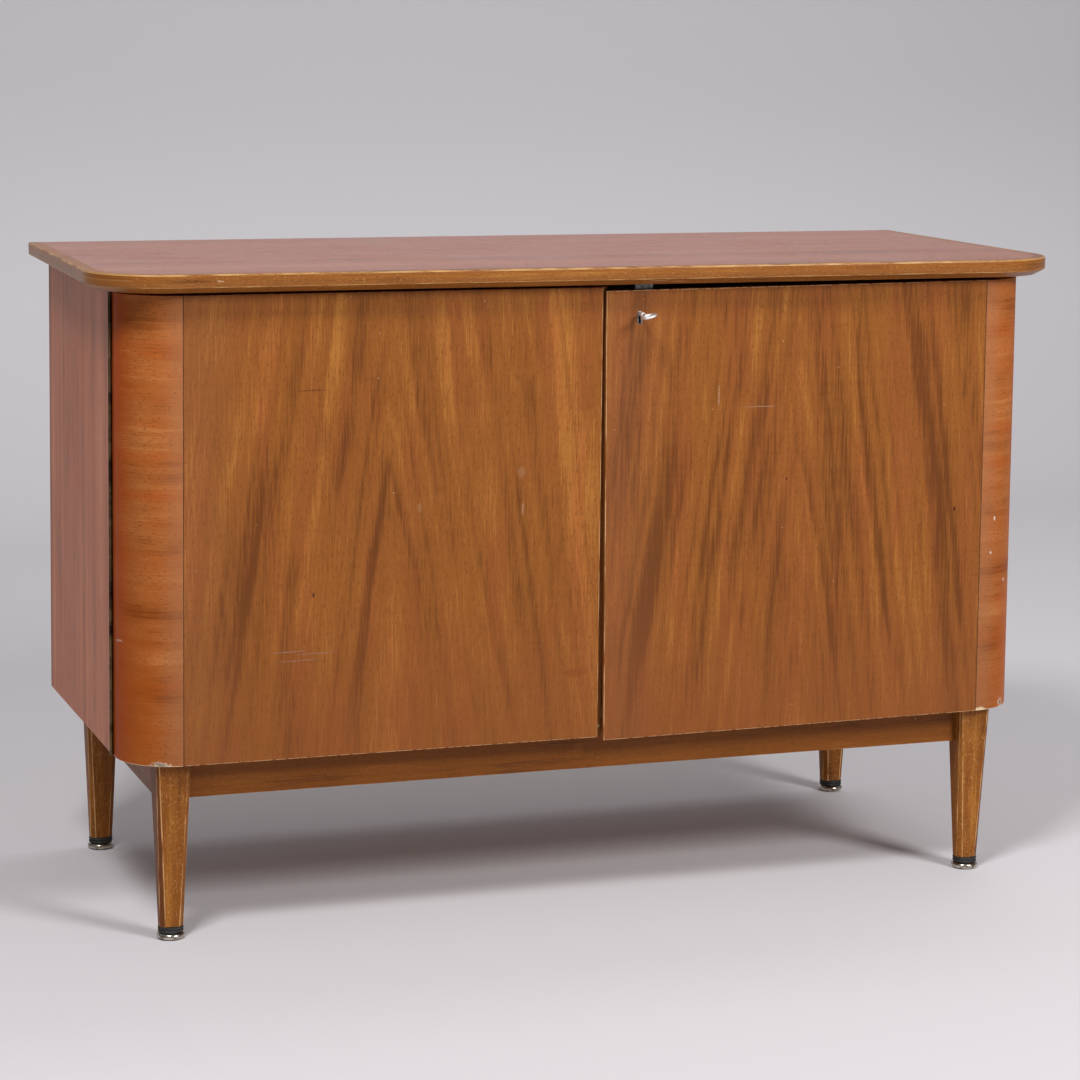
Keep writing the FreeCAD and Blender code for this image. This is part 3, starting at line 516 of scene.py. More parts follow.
def cleat_aim(low, high):
    """Up into the top, or sideways into the nearer side panel."""
    if high.z - low.z > high.x - low.x:
        return 0, 0, 1
    return math.copysign(1, low.x), 0, 0


steel_screws("cleat_screws_set", "cleat_screws", cleat_aim, "cabinet", head_radius=4, head_height=2,
             shank_radius=2, length=32)


# The back is a thin sheet of bare birch plywood set into rebates in the sides.
# It is pale and dry, with faint upright figure.

back_arris = 0.3
birch_plywood = board_wood("bare_birch_plywood", "XYZ", ("#a87c50", "#c79f70", "#d8b68a"), "#dcc09a", ring=26,
                           band=0.7, streak=0.6, cloud=0.5, pore=0.25, rough=0.72, seed=5.0, speck=0.1)
eased_piece("back_panel", back_arris, "cabinet", "back_plywood", birch_plywood, **board_arris)


# The two sides are flat boards faced with straight-grained mahogany veneer, upright and varnished.
# The varnish gives them a pinkish sheen beside the golden doors.

side_arris = 0.6
side_mahogany = board_wood("varnished_mahogany_side", "XYZ", ("#8d5036", "#b46b49", "#c8825c"), "#c9946f",
                           ring=22, band=1.4, streak=0.9, cloud=0.8, pore=0.4, rough=0.46, seed=6.0,
                           shine=0.35)
for side_name in ("side_panel_left", "side_panel_right"):
    eased_piece(side_name, side_arris, "cabinet", "side_veneer", side_mahogany, **board_arris)


# The top's edge is a band of solid beech round the front and the splayed sides.
# It is rounded above and planed away below to a bevel, and its arrises are worn pale; on the upper arris the
# pale is also a painted highlight.

front_y = -216.5
body_half = 572.0
body_deep = 471.0
top_z = 780.0
under_z = 758.0
overhang_front = 26.0
overhang_back = 2.0
overhang_side_front = 38.0
overhang_side_back = 25.0
band_corner_radius = 89.0
arris_radius = 2.5
bevel_height = 7.0
bevel_depth = 13.0
band_width = 15.0
near_y = front_y - overhang_front
far_y = front_y + body_deep + overhang_back

band_section = [(band_width, top_z)]
for step in range(7):
    turn = math.pi / 2 * step / 6
    band_section.append((arris_radius * (1 - math.sin(turn)), top_z - arris_radius * (1 - math.cos(turn))))
band_section += [(0.25, under_z + bevel_height + 0.6), (0.7, under_z + bevel_height - 0.3),
                 (bevel_depth - 0.8, under_z + 0.35), (bevel_depth, under_z), (band_width, under_z)]
section_mesh = bpy.data.meshes.new("band_section")
section_count = len(band_section)
section_mesh.from_pydata([(-inset * mm, (top_z - height) * mm, 0) for inset, height in band_section],
                         [(i, (i + 1) % section_count) for i in range(section_count)], [])
section_model = bpy.data.objects.new("band_section", section_mesh)

sweep_group, given = new_group("swept_band", {
    "Path": "Geometry", "Section": "Object", "Corner radius": "Float", "Corner steps": "Int",
    "Spacing": "Float", "Material": "Material"})
path = add(sweep_group, "GeometryNodeMeshToCurve", given["Path"])
path = add(sweep_group, "GeometryNodeFilletCurve", mode="POLY", named={
    "Curve": path, "Radius": given["Corner radius"], "Count": given["Corner steps"]})
path = add(sweep_group, "GeometryNodeResampleCurve", mode="LENGTH", named={
    "Curve": path, "Length": given["Spacing"]})
path = add(sweep_group, "GeometryNodeSetCurveNormal", mode="Z_UP", named={"Curve": path})
section = add(sweep_group, "GeometryNodeObjectInfo", named={"Object": given["Section"]})
section = add(sweep_group, "GeometryNodeMeshToCurve", section.outputs["Geometry"])
swept = add(sweep_group, "GeometryNodeCurveToMesh", named={
    "Curve": path, "Profile Curve": section, "Fill Caps": True})
end_group(sweep_group, swept, given["Material"])


def spot(tree, place, middle, half, share):
    """Ragged spot on the surface around a point; half is its half size along the axes of place."""
    fray = cells(tree, place, (2.5, 2.5, 2.5), 2, 0.35)
    drift = cells(tree, place, (30, 30, 30), 1, 0.85)
    off = add(tree, "ShaderNodeVectorMath", place, middle, operation="SUBTRACT")
    off = add(tree, "ShaderNodeVectorMath", off, [1 / h for h in half], operation="MULTIPLY")
    parts = add(tree, "ShaderNodeSeparateXYZ", off)
    lifted = weighted(tree, parts.outputs["Z"], (drift, 10 / max(half[2], 2.0)))
    off = add(tree, "ShaderNodeCombineXYZ", parts.outputs["X"], parts.outputs["Y"], lifted)
    far = add(tree, "ShaderNodeVectorMath", off, operation="LENGTH").outputs["Value"]
    return ramp(tree, weighted(tree, far, (fray, 1.8)), 0.6, 1.15, share, 0.0)


def spots(tree, place, marks):
    """Films for small marks, given as (colour, middle, half size, share)."""
    return [(spot(tree, place, *where), colour) for colour, *where in marks]


# This beech is golden under clear varnish, and its grain follows the band round the corners.
band_beech, tree, place = new_material("golden_beech_band")
run = add(tree, "ShaderNodeAttribute", attribute_name="run").outputs["Fac"]
parts = add(tree, "ShaderNodeSeparateXYZ", place)
along_run = add(tree, "ShaderNodeCombineXYZ", parts.outputs["Z"], 0.0, run)
band_marks = [
    ("#c9a27c", (60.0, -236.0, 762.5), (15.0, 9.0, 0.6), 0.7),
    ("#c9a27c", (88.0, -234.0, 761.0), (12.0, 9.0, 0.5), 0.6),
    ("#2a1408", (-589.0, -228.0, 773.0), (2.0, 8.0, 1.2), 0.9),
    ("#d8b48c", (-470.0, -242.0, 772.0), (5.0, 6.0, 1.0), 0.5),
]
wood(tree, along_run, ("#5c310d", "#8d5420", "#aa7130"), "#e0b878", ring=7, band=0.9, streak=0.8, cloud=0.7,
     pore=0.5, fleck=0.35, rough=0.32, seed=7.0, shine=0.25, films=spots(tree, place, band_marks))

back_x, front_x = body_half + overhang_side_back, body_half + overhang_side_front
path_mesh = bpy.data.meshes.new("top_band")
path_corners = [(-back_x, far_y), (-front_x, near_y), (front_x, near_y), (back_x, far_y)]
path_mesh.from_pydata([(x * mm, y * mm, top_z * mm) for x, y in path_corners], [(0, 1), (1, 2), (2, 3)], [])
values = {"Section": section_model, "Corner radius": band_corner_radius * mm, "Corner steps": 40,
          "Spacing": 6 * mm, "Material": band_beech}
top_band = grown("top_band", path_mesh, sweep_group, values, "cabinet", "top_edge_lipping")

band_wear_and_highlight = 0.5
upper_pale_depth, worn_beside = 1.6, 0.8
band_shape = bmesh.new()
band_shape.from_mesh(top_band.data)
bmesh.ops.recalc_face_normals(band_shape, faces=band_shape.faces)
arris_layer = band_shape.faces.layers.float.new("arris")
run_layer = band_shape.verts.layers.float.new("run")
for vert in band_shape.verts:
    x, y = vert.co.x / mm, vert.co.y / mm
    if y > far_y - 1:
        vert.co.y = far_y * mm
    along_side = max(0.0, y - near_y - band_corner_radius)
    vert[run_layer] = math.copysign(min(abs(x), front_x - band_corner_radius / 2) + along_side, x)
for face in band_shape.faces:
    height = face.calc_center_median().z / mm
    # The pale on the upper arris is wear and also a painted highlight.
    on_upper_arris = top_z - upper_pale_depth < height < top_z - 0.05
    if on_upper_arris or abs(height - under_z - bevel_height) < worn_beside:
        face[arris_layer] = band_wear_and_highlight
write_mesh(top_band.data, band_shape, smooth=28)


# The top is a board faced with mahogany veneer laid lengthwise and varnished.
# The varnish is glossy and a little cloudy, so the top looks pale when it is seen low.

top_mahogany = board_wood("varnished_mahogany_top", "YZX", ("#733619", "#985230", "#a9653f"), "#b98362",
                          ring=60, band=1.4, streak=0.5, cloud=0.5, pore=0.15, rough=0.27, seed=8.0,
                          grain_bump=0.0, shine=0.58)
make_piece("top_board", merged_copy("top_panel"), "cabinet", top_mahogany, "top_panel")


# A steel plate under the top's front edge takes the bolt of the lock.
# It is zinc-plated and held by two flush screws.


def paint(node_name, material):
    """Gives a CAD solid that is shown as it is its material."""
    surfaces = nodes[node_name].data.materials
    surfaces.clear()
    surfaces.append(material)


paint("strike_plate", plated_steel)
steel_screws("strike_screws_set", "strike_screws", (0, 0, 1), "cabinet", head_radius=2.98, head_height=1.5,
             shank_radius=1.5, length=10)


# Continuous brass hinges join the doors to the sides: two leaves with seven rolled knuckles each, and a pin.
# The brass has gone brown, with patches of dark dirt on the knuckles. The pin is of plated steel.

door_bottom = 211.2
door_top = 754.0
hinge_x = 574.25
hinge_y = -139.5
knuckle_radius = 2.25
pin_bore = 1.15
knuckle_count = 14
knuckle_gap = 0.3
knuckle_bevel = 0.3
roll_steps = 28
leaf_edge = 571.6
leaf_arris = 0.2
tongue_near, tongue_far = 0.25, 1.25
knuckle_pitch = (door_top - door_bottom) / knuckle_count


def knuckle(name, side, facing):
    """Rolled barrel and its tongue, from z = 0 up, about the hinge's axis."""
    start, end = [math.pi - math.asin(t / knuckle_radius) for t in (tongue_far, tongue_near)]
    end -= 2 * math.pi
    turns = [start + (end - start) * i / roll_steps for i in range(roll_steps + 1)]
    outer = [(knuckle_radius * math.cos(t), knuckle_radius * math.sin(t)) for t in turns]
    outer += [(leaf_edge - hinge_x, y) for y in (tongue_near, tongue_far)]
    turns += [end - 0.05, start + 0.05 - 2 * math.pi]
    inner = [(pin_bore * math.cos(t), pin_bore * math.sin(t)) for t in turns]
    length = knuckle_pitch - knuckle_gap
    levels = [(outer, 0.0), (outer, length), (inner, length), (inner, 0.0)]
    shape = bmesh.new()
    bridge(shape, [[shape.verts.new((side * x * mm, facing * y * mm, z * mm)) for x, y in line]
                   for line, z in levels], closed=True)
    rims = [e for e in shape.edges if e.calc_face_angle(0) > 1 and e.calc_length() < 2 * mm
            and min(v.co.xy.length for v in e.verts) > 0.8 * knuckle_radius * mm
            and abs(e.verts[0].co.z - e.verts[1].co.z) < 0.001 * mm]
    bmesh.ops.bevel(shape, geom=rims, offset=knuckle_bevel * mm, segments=2, profile=0.5, affect="EDGES")
    return model_of(name, shape)


dirty_brass = metal("dirty_brass", "#6a573c", "#33281d", rough=0.42, patch=30)
hinge_screw = screw_model("hinge_screw", head_radius=2.8, head_height=1.0, shank_radius=1.4, length=16)
for side, hand in ((-1, "left"), (1, "right")):
    for facing, leaf, body in ((1, "fixed", "cabinet"), (-1, "door", f"{hand}_door")):
        node_name = f"{hand}_hinge_{leaf}_leaf"
        shape = merged_copy(node_name)
        cut = bmesh.ops.bisect_plane(
            shape, geom=shape.verts[:] + shape.edges[:] + shape.faces[:],
            plane_co=(side * leaf_edge * mm, 0, 0), plane_no=(side, 0, 0), clear_outer=True)
        rim = [e for e in cut["geom_cut"] if isinstance(e, bmesh.types.BMEdge)]
        bmesh.ops.edgeloop_fill(shape, edges=rim)
        join_flats(shape)
        ease_arrises(shape, leaf_arris, least=20, sharpest=60)
        make_piece(f"{hand}_{leaf}_plate", shape, body, old_brass, node_name)
        first = 0 if facing > 0 else 1
        barrel = knuckle(f"{hand}_{leaf}_knuckle", side, facing)
        seats = [((side * hinge_x, hinge_y, door_bottom + i * knuckle_pitch + knuckle_gap / 2), (0, 0, 1))
                 for i in range(first, knuckle_count, 2)]
        repeated(f"{hand}_{leaf}_knuckles", barrel, seats, body, "hinge_brass", dirty_brass, node_name,
                 twist=0.0)
    paint(f"{hand}_hinge_pin", plated_steel)
    replace_each(f"{hand}_door_leaf_screws", hinge_screw, f"{hand}_hinge_screws_door", (0, -1, 0),
                 f"{hand}_door", "screw_brass", old_brass, seed=2 + side)
replace_each("fixed_leaf_screws", hinge_screw, "hinge_screws_carcass", (0, 1, 0), "cabinet", "screw_brass",
             old_brass, seed=5)


# Each door's front is a board faced with crown-cut walnut veneer, upright, in consecutive leaves,
# so both doors show the same tall figure. Their edges are eased and rubbed pale; on the meeting edges
# and the right door's top edge the pale is also a painted highlight.
# A lip of stained beech is glued along the left door's meeting edge.

door_thick = 17.0
door_arris = {"least": 20.0, "sharpest": 60}
seam_x = 506.0
growth_lines = [
    ([(76, 700), (86, 556), (140, 270)], 8, 0.24),
    ([(148, 700), (184, 514), (230, 330)], 26, 0.19),
    ([(-3, 540), (-22, 420), (-38, 227)], 7, 0.24),
    ([(3, 540), (33, 418), (50, 300)], 7, 0.22),
    ([(-27, 745), (-42, 634), (-56, 545)], 10, 0.18),
    ([(-72, 745), (-83, 634), (-96, 530)], 6, 0.20),
    ([(-138, 560), (-165, 450), (-198, 320)], 26, 0.19),
    ([(-112, 440), (-120, 334), (-124, 215)], 12, 0.20),
    ([(20, 745), (34, 640), (62, 470)], 10, 0.15),
    ([(-195, 745), (-212, 560), (-232, 330)], 20, 0.18),
    ([(2, 680), (4, 500), (8, 300)], 22, -0.10),
    ([(104, 520), (120, 400), (150, 260)], 26, -0.07),
    ([(-120, 760), (-150, 640), (-175, 560)], 30, -0.08),
]


def growth_line(tree, across, height, points, width, depth):
    """Soft line through three (across, height) points, sharper inside; it is pale if depth is below 0."""
    (u0, z0), (u1, z1), (u2, z2) = points
    first = (u1 - u0) / (z1 - z0)
    second = ((u2 - u1) / (z2 - z1) - first) / (z2 - z0)
    away = add(tree, "ShaderNodeMath", height, z0, operation="SUBTRACT")
    bend = add(tree, "ShaderNodeMath", height, z1, operation="SUBTRACT")
    bend = add(tree, "ShaderNodeMath", bend, second, first, operation="MULTIPLY_ADD")
    line = add(tree, "ShaderNodeMath", away, bend, u0, operation="MULTIPLY_ADD")
    off = add(tree, "ShaderNodeMath", across, line, operation="SUBTRACT")
    outward = 1 if u2 > 0 else -1
    outside = ramp(tree, off, 0.0, outward * 2.0 * width, 1.0, 0.0)
    inside = ramp(tree, off, -outward * (3 + 0.35 * width), 0.0, 0.0, 1.0)
    below_top = ramp(tree, height, z0 - 20, z0 + 40, 1.0, 0.0)
    above_foot = ramp(tree, height, z2 - 60, z2 + 20)
    return product(tree, outside, inside, below_top, above_foot, depth)


def door_veneer(name, centre_x, seed, marks):
    """Crown-cut walnut with its figure centred on a door; marks are (colour, x, z, half x, half z, share)."""
    material, tree, place = new_material(name)
    sway_by, ripple_by = 26.0, 7.0
    crown_width, crown_slope = 90.0, 0.14
    mark_depth = 8.0
    parts = add(tree, "ShaderNodeSeparateXYZ", place)
    height = parts.outputs["Z"]
    sway = cells(tree, place, (90, 90, 420), 2, seed + 31)
    ripple = cells(tree, place, (16, 16, 150), 2, seed + 33)
    straight = add(tree, "ShaderNodeMath", parts.outputs["X"], centre_x, operation="SUBTRACT")
    across = weighted(tree, straight, (sway, sway_by), (ripple, ripple_by))
    square = add(tree, "ShaderNodeMath", across, across, crown_width, operation="MULTIPLY_ADD")
    reach = add(tree, "ShaderNodeMath", square, 0.5, operation="POWER")
    ring_reach = add(tree, "ShaderNodeMath", height, crown_slope, reach, operation="MULTIPLY_ADD")
    figure = add(tree, "ShaderNodeCombineXYZ", ring_reach, 0.0, height)
    wide_bands = cells(tree, figure, (46, 46, 900), 1, seed + 35)
    lines = cells(tree, figure, (5, 5, 260), 2, seed + 41)
    crossing = cells(tree, place, (150, 150, 9), 2, seed + 39)
    shade = weighted(tree, 0.0, (wide_bands, -0.9), (lines, -0.35), (crossing, 0.15))
    mottle = cells(tree, place, (30, 30, 140), 2, seed + 37)
    patchy = ramp(tree, mottle, 0.3, 0.65, 0.85, 1.1)
    for points, width, depth in growth_lines:
        line = growth_line(tree, across, height, points, width, depth)
        shade = add(tree, "ShaderNodeMath", line, patchy, shade, operation="MULTIPLY_ADD")
    margin = ramp(tree, straight, -150, -245, 0.0, 0.22)
    foot = ramp(tree, height, 420, 215, 0.0, 0.4)
    from_middle = add(tree, "ShaderNodeMath", parts.outputs["X"], operation="ABSOLUTE")
    seam = ramp(tree, from_middle, seam_x - 1.1, seam_x - 0.5, 0.0, 0.6)
    films = [(margin, "#84543a"), (foot, "#7e4622")]
    films += spots(tree, place, [(colour, (x, front_y, z), (half_x, mark_depth, half_z), share)
                                 for colour, x, z, half_x, half_z, share in marks])
    films += [(seam, "#3a1c0c")]
    wood(tree, place, ("#663710", "#89501d", "#a4692c"), "#d6a878", ring=15, band=0.8, streak=0.9, cloud=0.5,
         pore=0.5, rough=0.42, seed=seed, figure=figure, shade=shade, blush="#8c4a22", films=films)
    return material


def door_wear_and_highlight(at):
    """How pale a door's eased edge is: rubbed most below and at the meeting edges, hardly at the seam.
    At the meeting edges and along the right door's top edge the pale is also a painted highlight.
    """
    if at.z < door_bottom + 2:
        return 1.8
    if at.z > door_top - 8:
        return 2.0 if at.x > 0 else 0.5
    return 1.2 if abs(at.x) < 20 else 0.1


left_marks = [
    ("#94807a", -385.0, 338.0, 20.0, 0.7, 0.4), ("#94807a", -350.0, 334.0, 22.0, 0.6, 0.4),
    ("#94807a", -372.0, 327.0, 30.0, 0.6, 0.35), ("#4a1c10", -356.0, 642.0, 18.0, 0.8, 0.6),
    ("#3a160c", -353.0, 403.0, 1.6, 2.6, 0.9), ("#c9b49c", -100.0, 537.0, 5.0, 7.0, 0.08),
    ("#c9b49c", -98.0, 495.0, 1.2, 9.0, 0.2), ("#c9b49c", -225.0, 500.0, 3.0, 7.0, 0.08),
    ("#70300f", -30.0, 292.0, 15.0, 7.0, 0.35), ("#6e3c18", -339.0, 587.0, 9.0, 20.0, 0.35),
]
right_marks = [
    ("#3a160c", 469.0, 468.0, 1.6, 2.4, 0.9), ("#3a160c", 241.0, 515.0, 1.4, 2.2, 0.9),
    ("#dcc0ae", 60.0, 750.0, 3.5, 1.5, 0.9), ("#c9b49c", 150.0, 620.0, 1.0, 16.0, 0.25),
    ("#c9b49c", 205.0, 606.0, 22.0, 0.7, 0.25),
]
panel_arris = 0.8
lip_arris = 0.5
walnut_left = door_veneer("crown_cut_walnut_left", -260.0, 9.0, left_marks)
walnut_right = door_veneer("crown_cut_walnut_right", 257.0, 9.4, right_marks)
eased_piece("left_door_panel", panel_arris, "left_door", "door_veneer", walnut_left, worn=door_wear_and_highlight,
            **door_arris)
eased_piece("left_door_lip", lip_arris, "left_door", "lipping_wood", stained_beech, worn=0.3, **door_arris)


# The rounded corner of each door is bent board faced with mahogany whose grain runs round the curve.
# Its lower edge has been knocked, and the veneer there is torn to the pale wood below.

corner_round = 66.0
corner_end = 75.75
corner_steps = 36
sag_slope = 0.00795
meeting_x = 10.0
rebate_depth = 7.6


def sag(shape, lean=0.0, sagging_from=door_top - 1):
    """Drops the ends of a right-door shape, which hangs low at its free edge; lean tips that edge."""
    for vert in shape.verts:
        x, z = vert.co.x / mm, vert.co.z / mm
        if lean and x < meeting_x and vert.co.y / mm < front_y + rebate_depth:
            vert.co.x -= lean * (z - door_bottom) / (door_top - door_bottom) * mm
        if z > sagging_from or z < door_bottom + 1:
            vert.co.z -= sag_slope * (hinge_x - x) * mm


def door_corner(side):
    """Upright quarter-round shell with eased ends and edges."""
    outside, inside = [], []
    inner = corner_round - door_thick
    for i in range(corner_steps + 1):
        turn = math.pi / 2 * i / corner_steps
        outside.append((seam_x + corner_round * math.sin(turn), corner_round * (1 - math.cos(turn))))
        inside.append((seam_x + inner * math.sin(turn), corner_round - inner * math.cos(turn)))
    outside.append((seam_x + corner_round, corner_end))
    inside.append((seam_x + inner, corner_end))
    section = [(side * x * mm, (front_y + depth) * mm) for x, depth in outside + inside[::-1]]
    shape = bmesh.new()
    ends = [[shape.verts.new((x, y, z * mm)) for x, y in section] for z in (door_bottom, door_top)]
    bridge(shape, ends)
    for i in range(len(outside) - 1):
        j = len(section) - 1 - i
        for end in ends:
            shape.faces.new((end[i], end[i + 1], end[j - 1], end[j]))
    bmesh.ops.recalc_face_normals(shape, faces=shape.faces)
    if side > 0:
        sag(shape)
    ease_arrises(shape, panel_arris, least=1.0, sharpest=60,
                 worn=lambda at: 1.8 if at.z < door_bottom + 2 else 0.1)
    return shape


corner_mahogany, tree, place = new_material("cross_grain_mahogany_corner")
parts = add(tree, "ShaderNodeSeparateXYZ", place)
from_seam = add(tree, "ShaderNodeMath", parts.outputs["X"], operation="ABSOLUTE")
from_seam = add(tree, "ShaderNodeMath", from_seam, seam_x, operation="SUBTRACT")
from_centre = add(tree, "ShaderNodeMath", front_y + corner_round, parts.outputs["Y"], operation="SUBTRACT")
turn = add(tree, "ShaderNodeMath", from_seam, from_centre, operation="ARCTAN2")
arc = product(tree, turn, corner_round)
round_grain = add(tree, "ShaderNodeCombineXYZ", parts.outputs["Z"], 0.0, arc)
reach = add(tree, "ShaderNodeCombineXYZ", from_seam, from_centre, 0.0)
reach = add(tree, "ShaderNodeVectorMath", reach, operation="LENGTH").outputs["Value"]
outside = ramp(tree, reach, corner_round - 8, corner_round - 4)
# Painted shade towards the hinge, painted light on the lower middle and a grey painted sheen by the seam.
painted_shade_near_hinge = product(tree, ramp(tree, arc, 50, 97, 0.0, 0.8), outside)
painted_light_low = ramp(tree, parts.outputs["Z"], 500, 260, 0.0, 0.5)
painted_light_low = product(tree, painted_light_low, ramp(tree, arc, 15, 50), outside)
painted_sheen_near_seam = product(tree, ramp(tree, arc, 0, 34, 0.45, 0.0), outside)
seam_line = ramp(tree, arc, 0.9, 0.4, 0.0, 0.6)
corner_marks = [
    ("#d9c4a6", (-530.0, -211.5, 212.5), (13.0, 14.0, 5.0), 0.9),
    ("#857970", (-531.0, -211.5, 214.0), (8.0, 12.0, 2.6), 0.9),
    ("#c9b0a0", (-571.0, -165.0, 352.0), (6.0, 12.0, 1.6), 0.5),
    ("#e6cfa8", (514.0, -216.0, 212.0), (9.0, 12.0, 3.6), 0.95),
    ("#cbb298", (547.0, -202.5, 216.5), (5.5, 10.0, 5.5), 0.8),
    ("#7a5038", (547.0, -202.5, 216.5), (3.0, 8.0, 3.0), 0.9),
    ("#d8c8bc", (527.0, -213.0, 452.0), (1.6, 6.0, 2.6), 0.8),
    ("#d8c8bc", (522.0, -214.5, 410.0), (1.4, 6.0, 2.0), 0.7),
    ("#d8c8bc", (547.0, -202.0, 374.0), (1.4, 6.0, 2.4), 0.7),
]
films = [(painted_light_low, "#ae5410"), (painted_shade_near_hinge, "#9c3c08"), (painted_sheen_near_seam, "#986a4c"), (seam_line, "#3a1c0c")]
films += spots(tree, place, corner_marks)
wood(tree, round_grain, ("#743812", "#a25e2e", "#b87642"), "#dcc09a", ring=9, band=0.6, streak=0.6, cloud=1.5,
     pore=0.7, rough=0.4, seed=12.0, blush="#ac4c12", shine=0.05, films=films)
for hand, side in (("left", -1), ("right", 1)):
    make_piece(f"rounded_{hand}_corner", door_corner(side), f"{hand}_door", corner_mahogany,
               f"{hand}_door_corner", smooth=35)


# A steel plate on the left door's back meets a magnet in a cream plastic case on the floor of the body.
# One of the plate's two screws has a raised head that shows in the gap between the doors.

# The plastic is smooth and half matt, and dirt has darkened it in patches.
cream_plastic, tree, place = new_material("cream_moulded_plastic")
darkening = cells(tree, place, (6, 6, 6), 4, 0.9)
tint = blend(tree, ramp(tree, darkening, 0.4, 0.8), "#d8d0bd", "#a99d84")
shader = add(tree, "ShaderNodeBsdfPrincipled", named={"Base Color": tint, "Roughness": 0.45})
add(tree, "ShaderNodeOutputMaterial", shader)
case_arris = 0.8
eased_piece("catch_magnet", case_arris, "cabinet", "magnet_case", cream_plastic, least=8.0, sharpest=60)
steel_screws("magnet_screws_set", "magnet_screws", (0, 0, -1), "cabinet", head_radius=2.98, head_height=1.5,
             shank_radius=1.5, length=24)

paint("catch_plate", plated_steel)
catch_boxes = sorted(loose_boxes("catch_plate_screws"), key=lambda box: box[0].x)
(flush_low, flush_high), (lip_low, lip_high) = catch_boxes[0], catch_boxes[-1]
lip_middle, flush_middle = (lip_low + lip_high) / 2, (flush_low + flush_high) / 2
lip_head, flush_head = 1.0, 1.2
lip_screw = screw_model("lip_screw", head_radius=2.5, head_height=lip_head, shank_radius=1.25,
                        length=lip_high.y - lip_low.y - lip_head, raised=True)
flush_screw = screw_model("flush_screw", head_radius=2.48, head_height=flush_head, shank_radius=1.25,
                          length=flush_high.y - flush_low.y)
for name, model, seat in (
        ("lip_screw_set", lip_screw, ((lip_middle.x, lip_low.y + lip_head, lip_middle.z), (0, 1, 0))),
        ("flush_screw_set", flush_screw, ((flush_middle.x, flush_high.y, flush_middle.z), (0, -1, 0)))):
    repeated(name, model, [seat], "left_door", "screw_brass", old_brass, "catch_plate_screws")


# The right door's front is a board like the left one's, but the door hangs low on its hinge.
# So its upper and lower edges are let down towards the free edge, and that edge leans.

door_lean = 3.7
right_panel = merged_copy("right_door_panel")
sag(right_panel, door_lean)
ease_arrises(right_panel, panel_arris, worn=door_wear_and_highlight, **door_arris)
make_piece("sagged_right_door_panel", right_panel, "right_door", walnut_right,
           "right_door_panel")


# The right door carries a cupboard lock with a lined keyhole and its key. The bolt rises out of the
# door's top edge. Case, bolt and liner are grey steel, and the key is bright nickel.

grey_steel = metal("grey_lock_steel", "#8d8c88", "#5e5d59", rough=0.4, patch=4)
bright_nickel = metal("bright_nickel", "#f6f5f3", "#eceae7", rough=0.52, patch=40)
face_plate_depth = 6.0
case_shape = merged_copy("lock_case")
sag(case_shape, sagging_from=door_top - face_plate_depth)
make_piece("lowered_lock_case", case_shape, "right_door", grey_steel, "lock_case")
steel_screws("lock_screws_set", "lock_screws", (0, -1, 0), "right_door", head_radius=2.23, head_height=1.1,
             shank_radius=1.1, length=8)
bolt_arris = 0.5
eased_piece("lock_bolt", bolt_arris, "lock_bolt", "lock_steel", grey_steel, least=3.0, sharpest=60)

key_x, key_z = 46.5, 721.3
liner_z = 717.0
liner_radius = 3.3
liner_reach = 4.7
liner_foot = 710.5
slot_half = 1.3
key_hole_radius = 2.35
liner_front, liner_back = front_y - 0.3, front_y + 5.0
liner_eye = key_z - 2.0


def in_liner(x, z):
    """Whether a point is inside the liner's upright outline."""
    return math.hypot(x, max(0.0, abs(z) - liner_reach)) < liner_radius


def in_keyhole(x, z):
    """Whether a point is inside the round hole or the slot below it."""
    axis_z = key_z - liner_z
    in_slot = abs(x) < slot_half and liner_foot - liner_z < z < axis_z
    return in_slot or math.hypot(x, z - axis_z) < key_hole_radius


def edge_reach(inside, turn):
    """How far the outline is from the liner's eye in one direction."""
    low, high = 0.0, 12.0
    for _ in range(30):
        middle = (low + high) / 2
        if inside(middle * math.cos(turn), liner_eye - liner_z + middle * math.sin(turn)):
            low = middle
        else:
            high = middle
    return low


liner_shape = bmesh.new()
liner_steps = 72
liner_turns = [turn + math.pi / liner_steps for turn in circle(liner_steps)]
outer = [edge_reach(in_liner, t) for t in liner_turns]
hole = [edge_reach(in_keyhole, t) for t in liner_turns]
liner_levels = [(outer, 0.0, liner_back), (outer, 0.0, liner_front + 0.25), (outer, -0.35, liner_front),
                (hole, 0.45, liner_front), (hole, 0.0, liner_front + 0.4), (hole, 0.0, liner_back)]
liner_loops = []
for reaches, grow, y in liner_levels:
    corners = [(key_x + (r + grow) * math.cos(t), y, liner_eye + (r + grow) * math.sin(t))
               for t, r in zip(liner_turns, reaches)]
    liner_loops.append([liner_shape.verts.new([c * mm for c in corner]) for corner in corners])
bridge(liner_shape, liner_loops, closed=True)
make_piece("pressed_keyhole_liner", liner_shape, "right_door", grey_steel, "keyhole_liner",
           smooth=40)

stem_profile = [(0, -238.4), (1.9, -238.2), (2.1, -236), (2.1, -229.4), (2.7, -229), (3.2, -228.2),
                (3.2, -226.4), (2.7, -225.6), (2.25, -225.2), (2.25, -203.4), (1.7, -202.5), (0, -202.5)]
stem_steps = 28
bow_y = front_y - 30.0
bow_outer, bow_hole, bow_half_thick = 10.0, 5.6, 1.5
bow_squareness = 0.7
bow_steps, section_steps = 56, 16
bit_middle, bit_size, bit_bevel = Vector((4.6, front_y + 10.5, 0.0)), (6.8, 4.0, 2.0), 0.3
key_tilt = math.radians(-15.0)


def squared(share):
    """Sine or cosine that makes a circle's section nearly square."""
    return math.copysign(abs(share) ** bow_squareness, share)


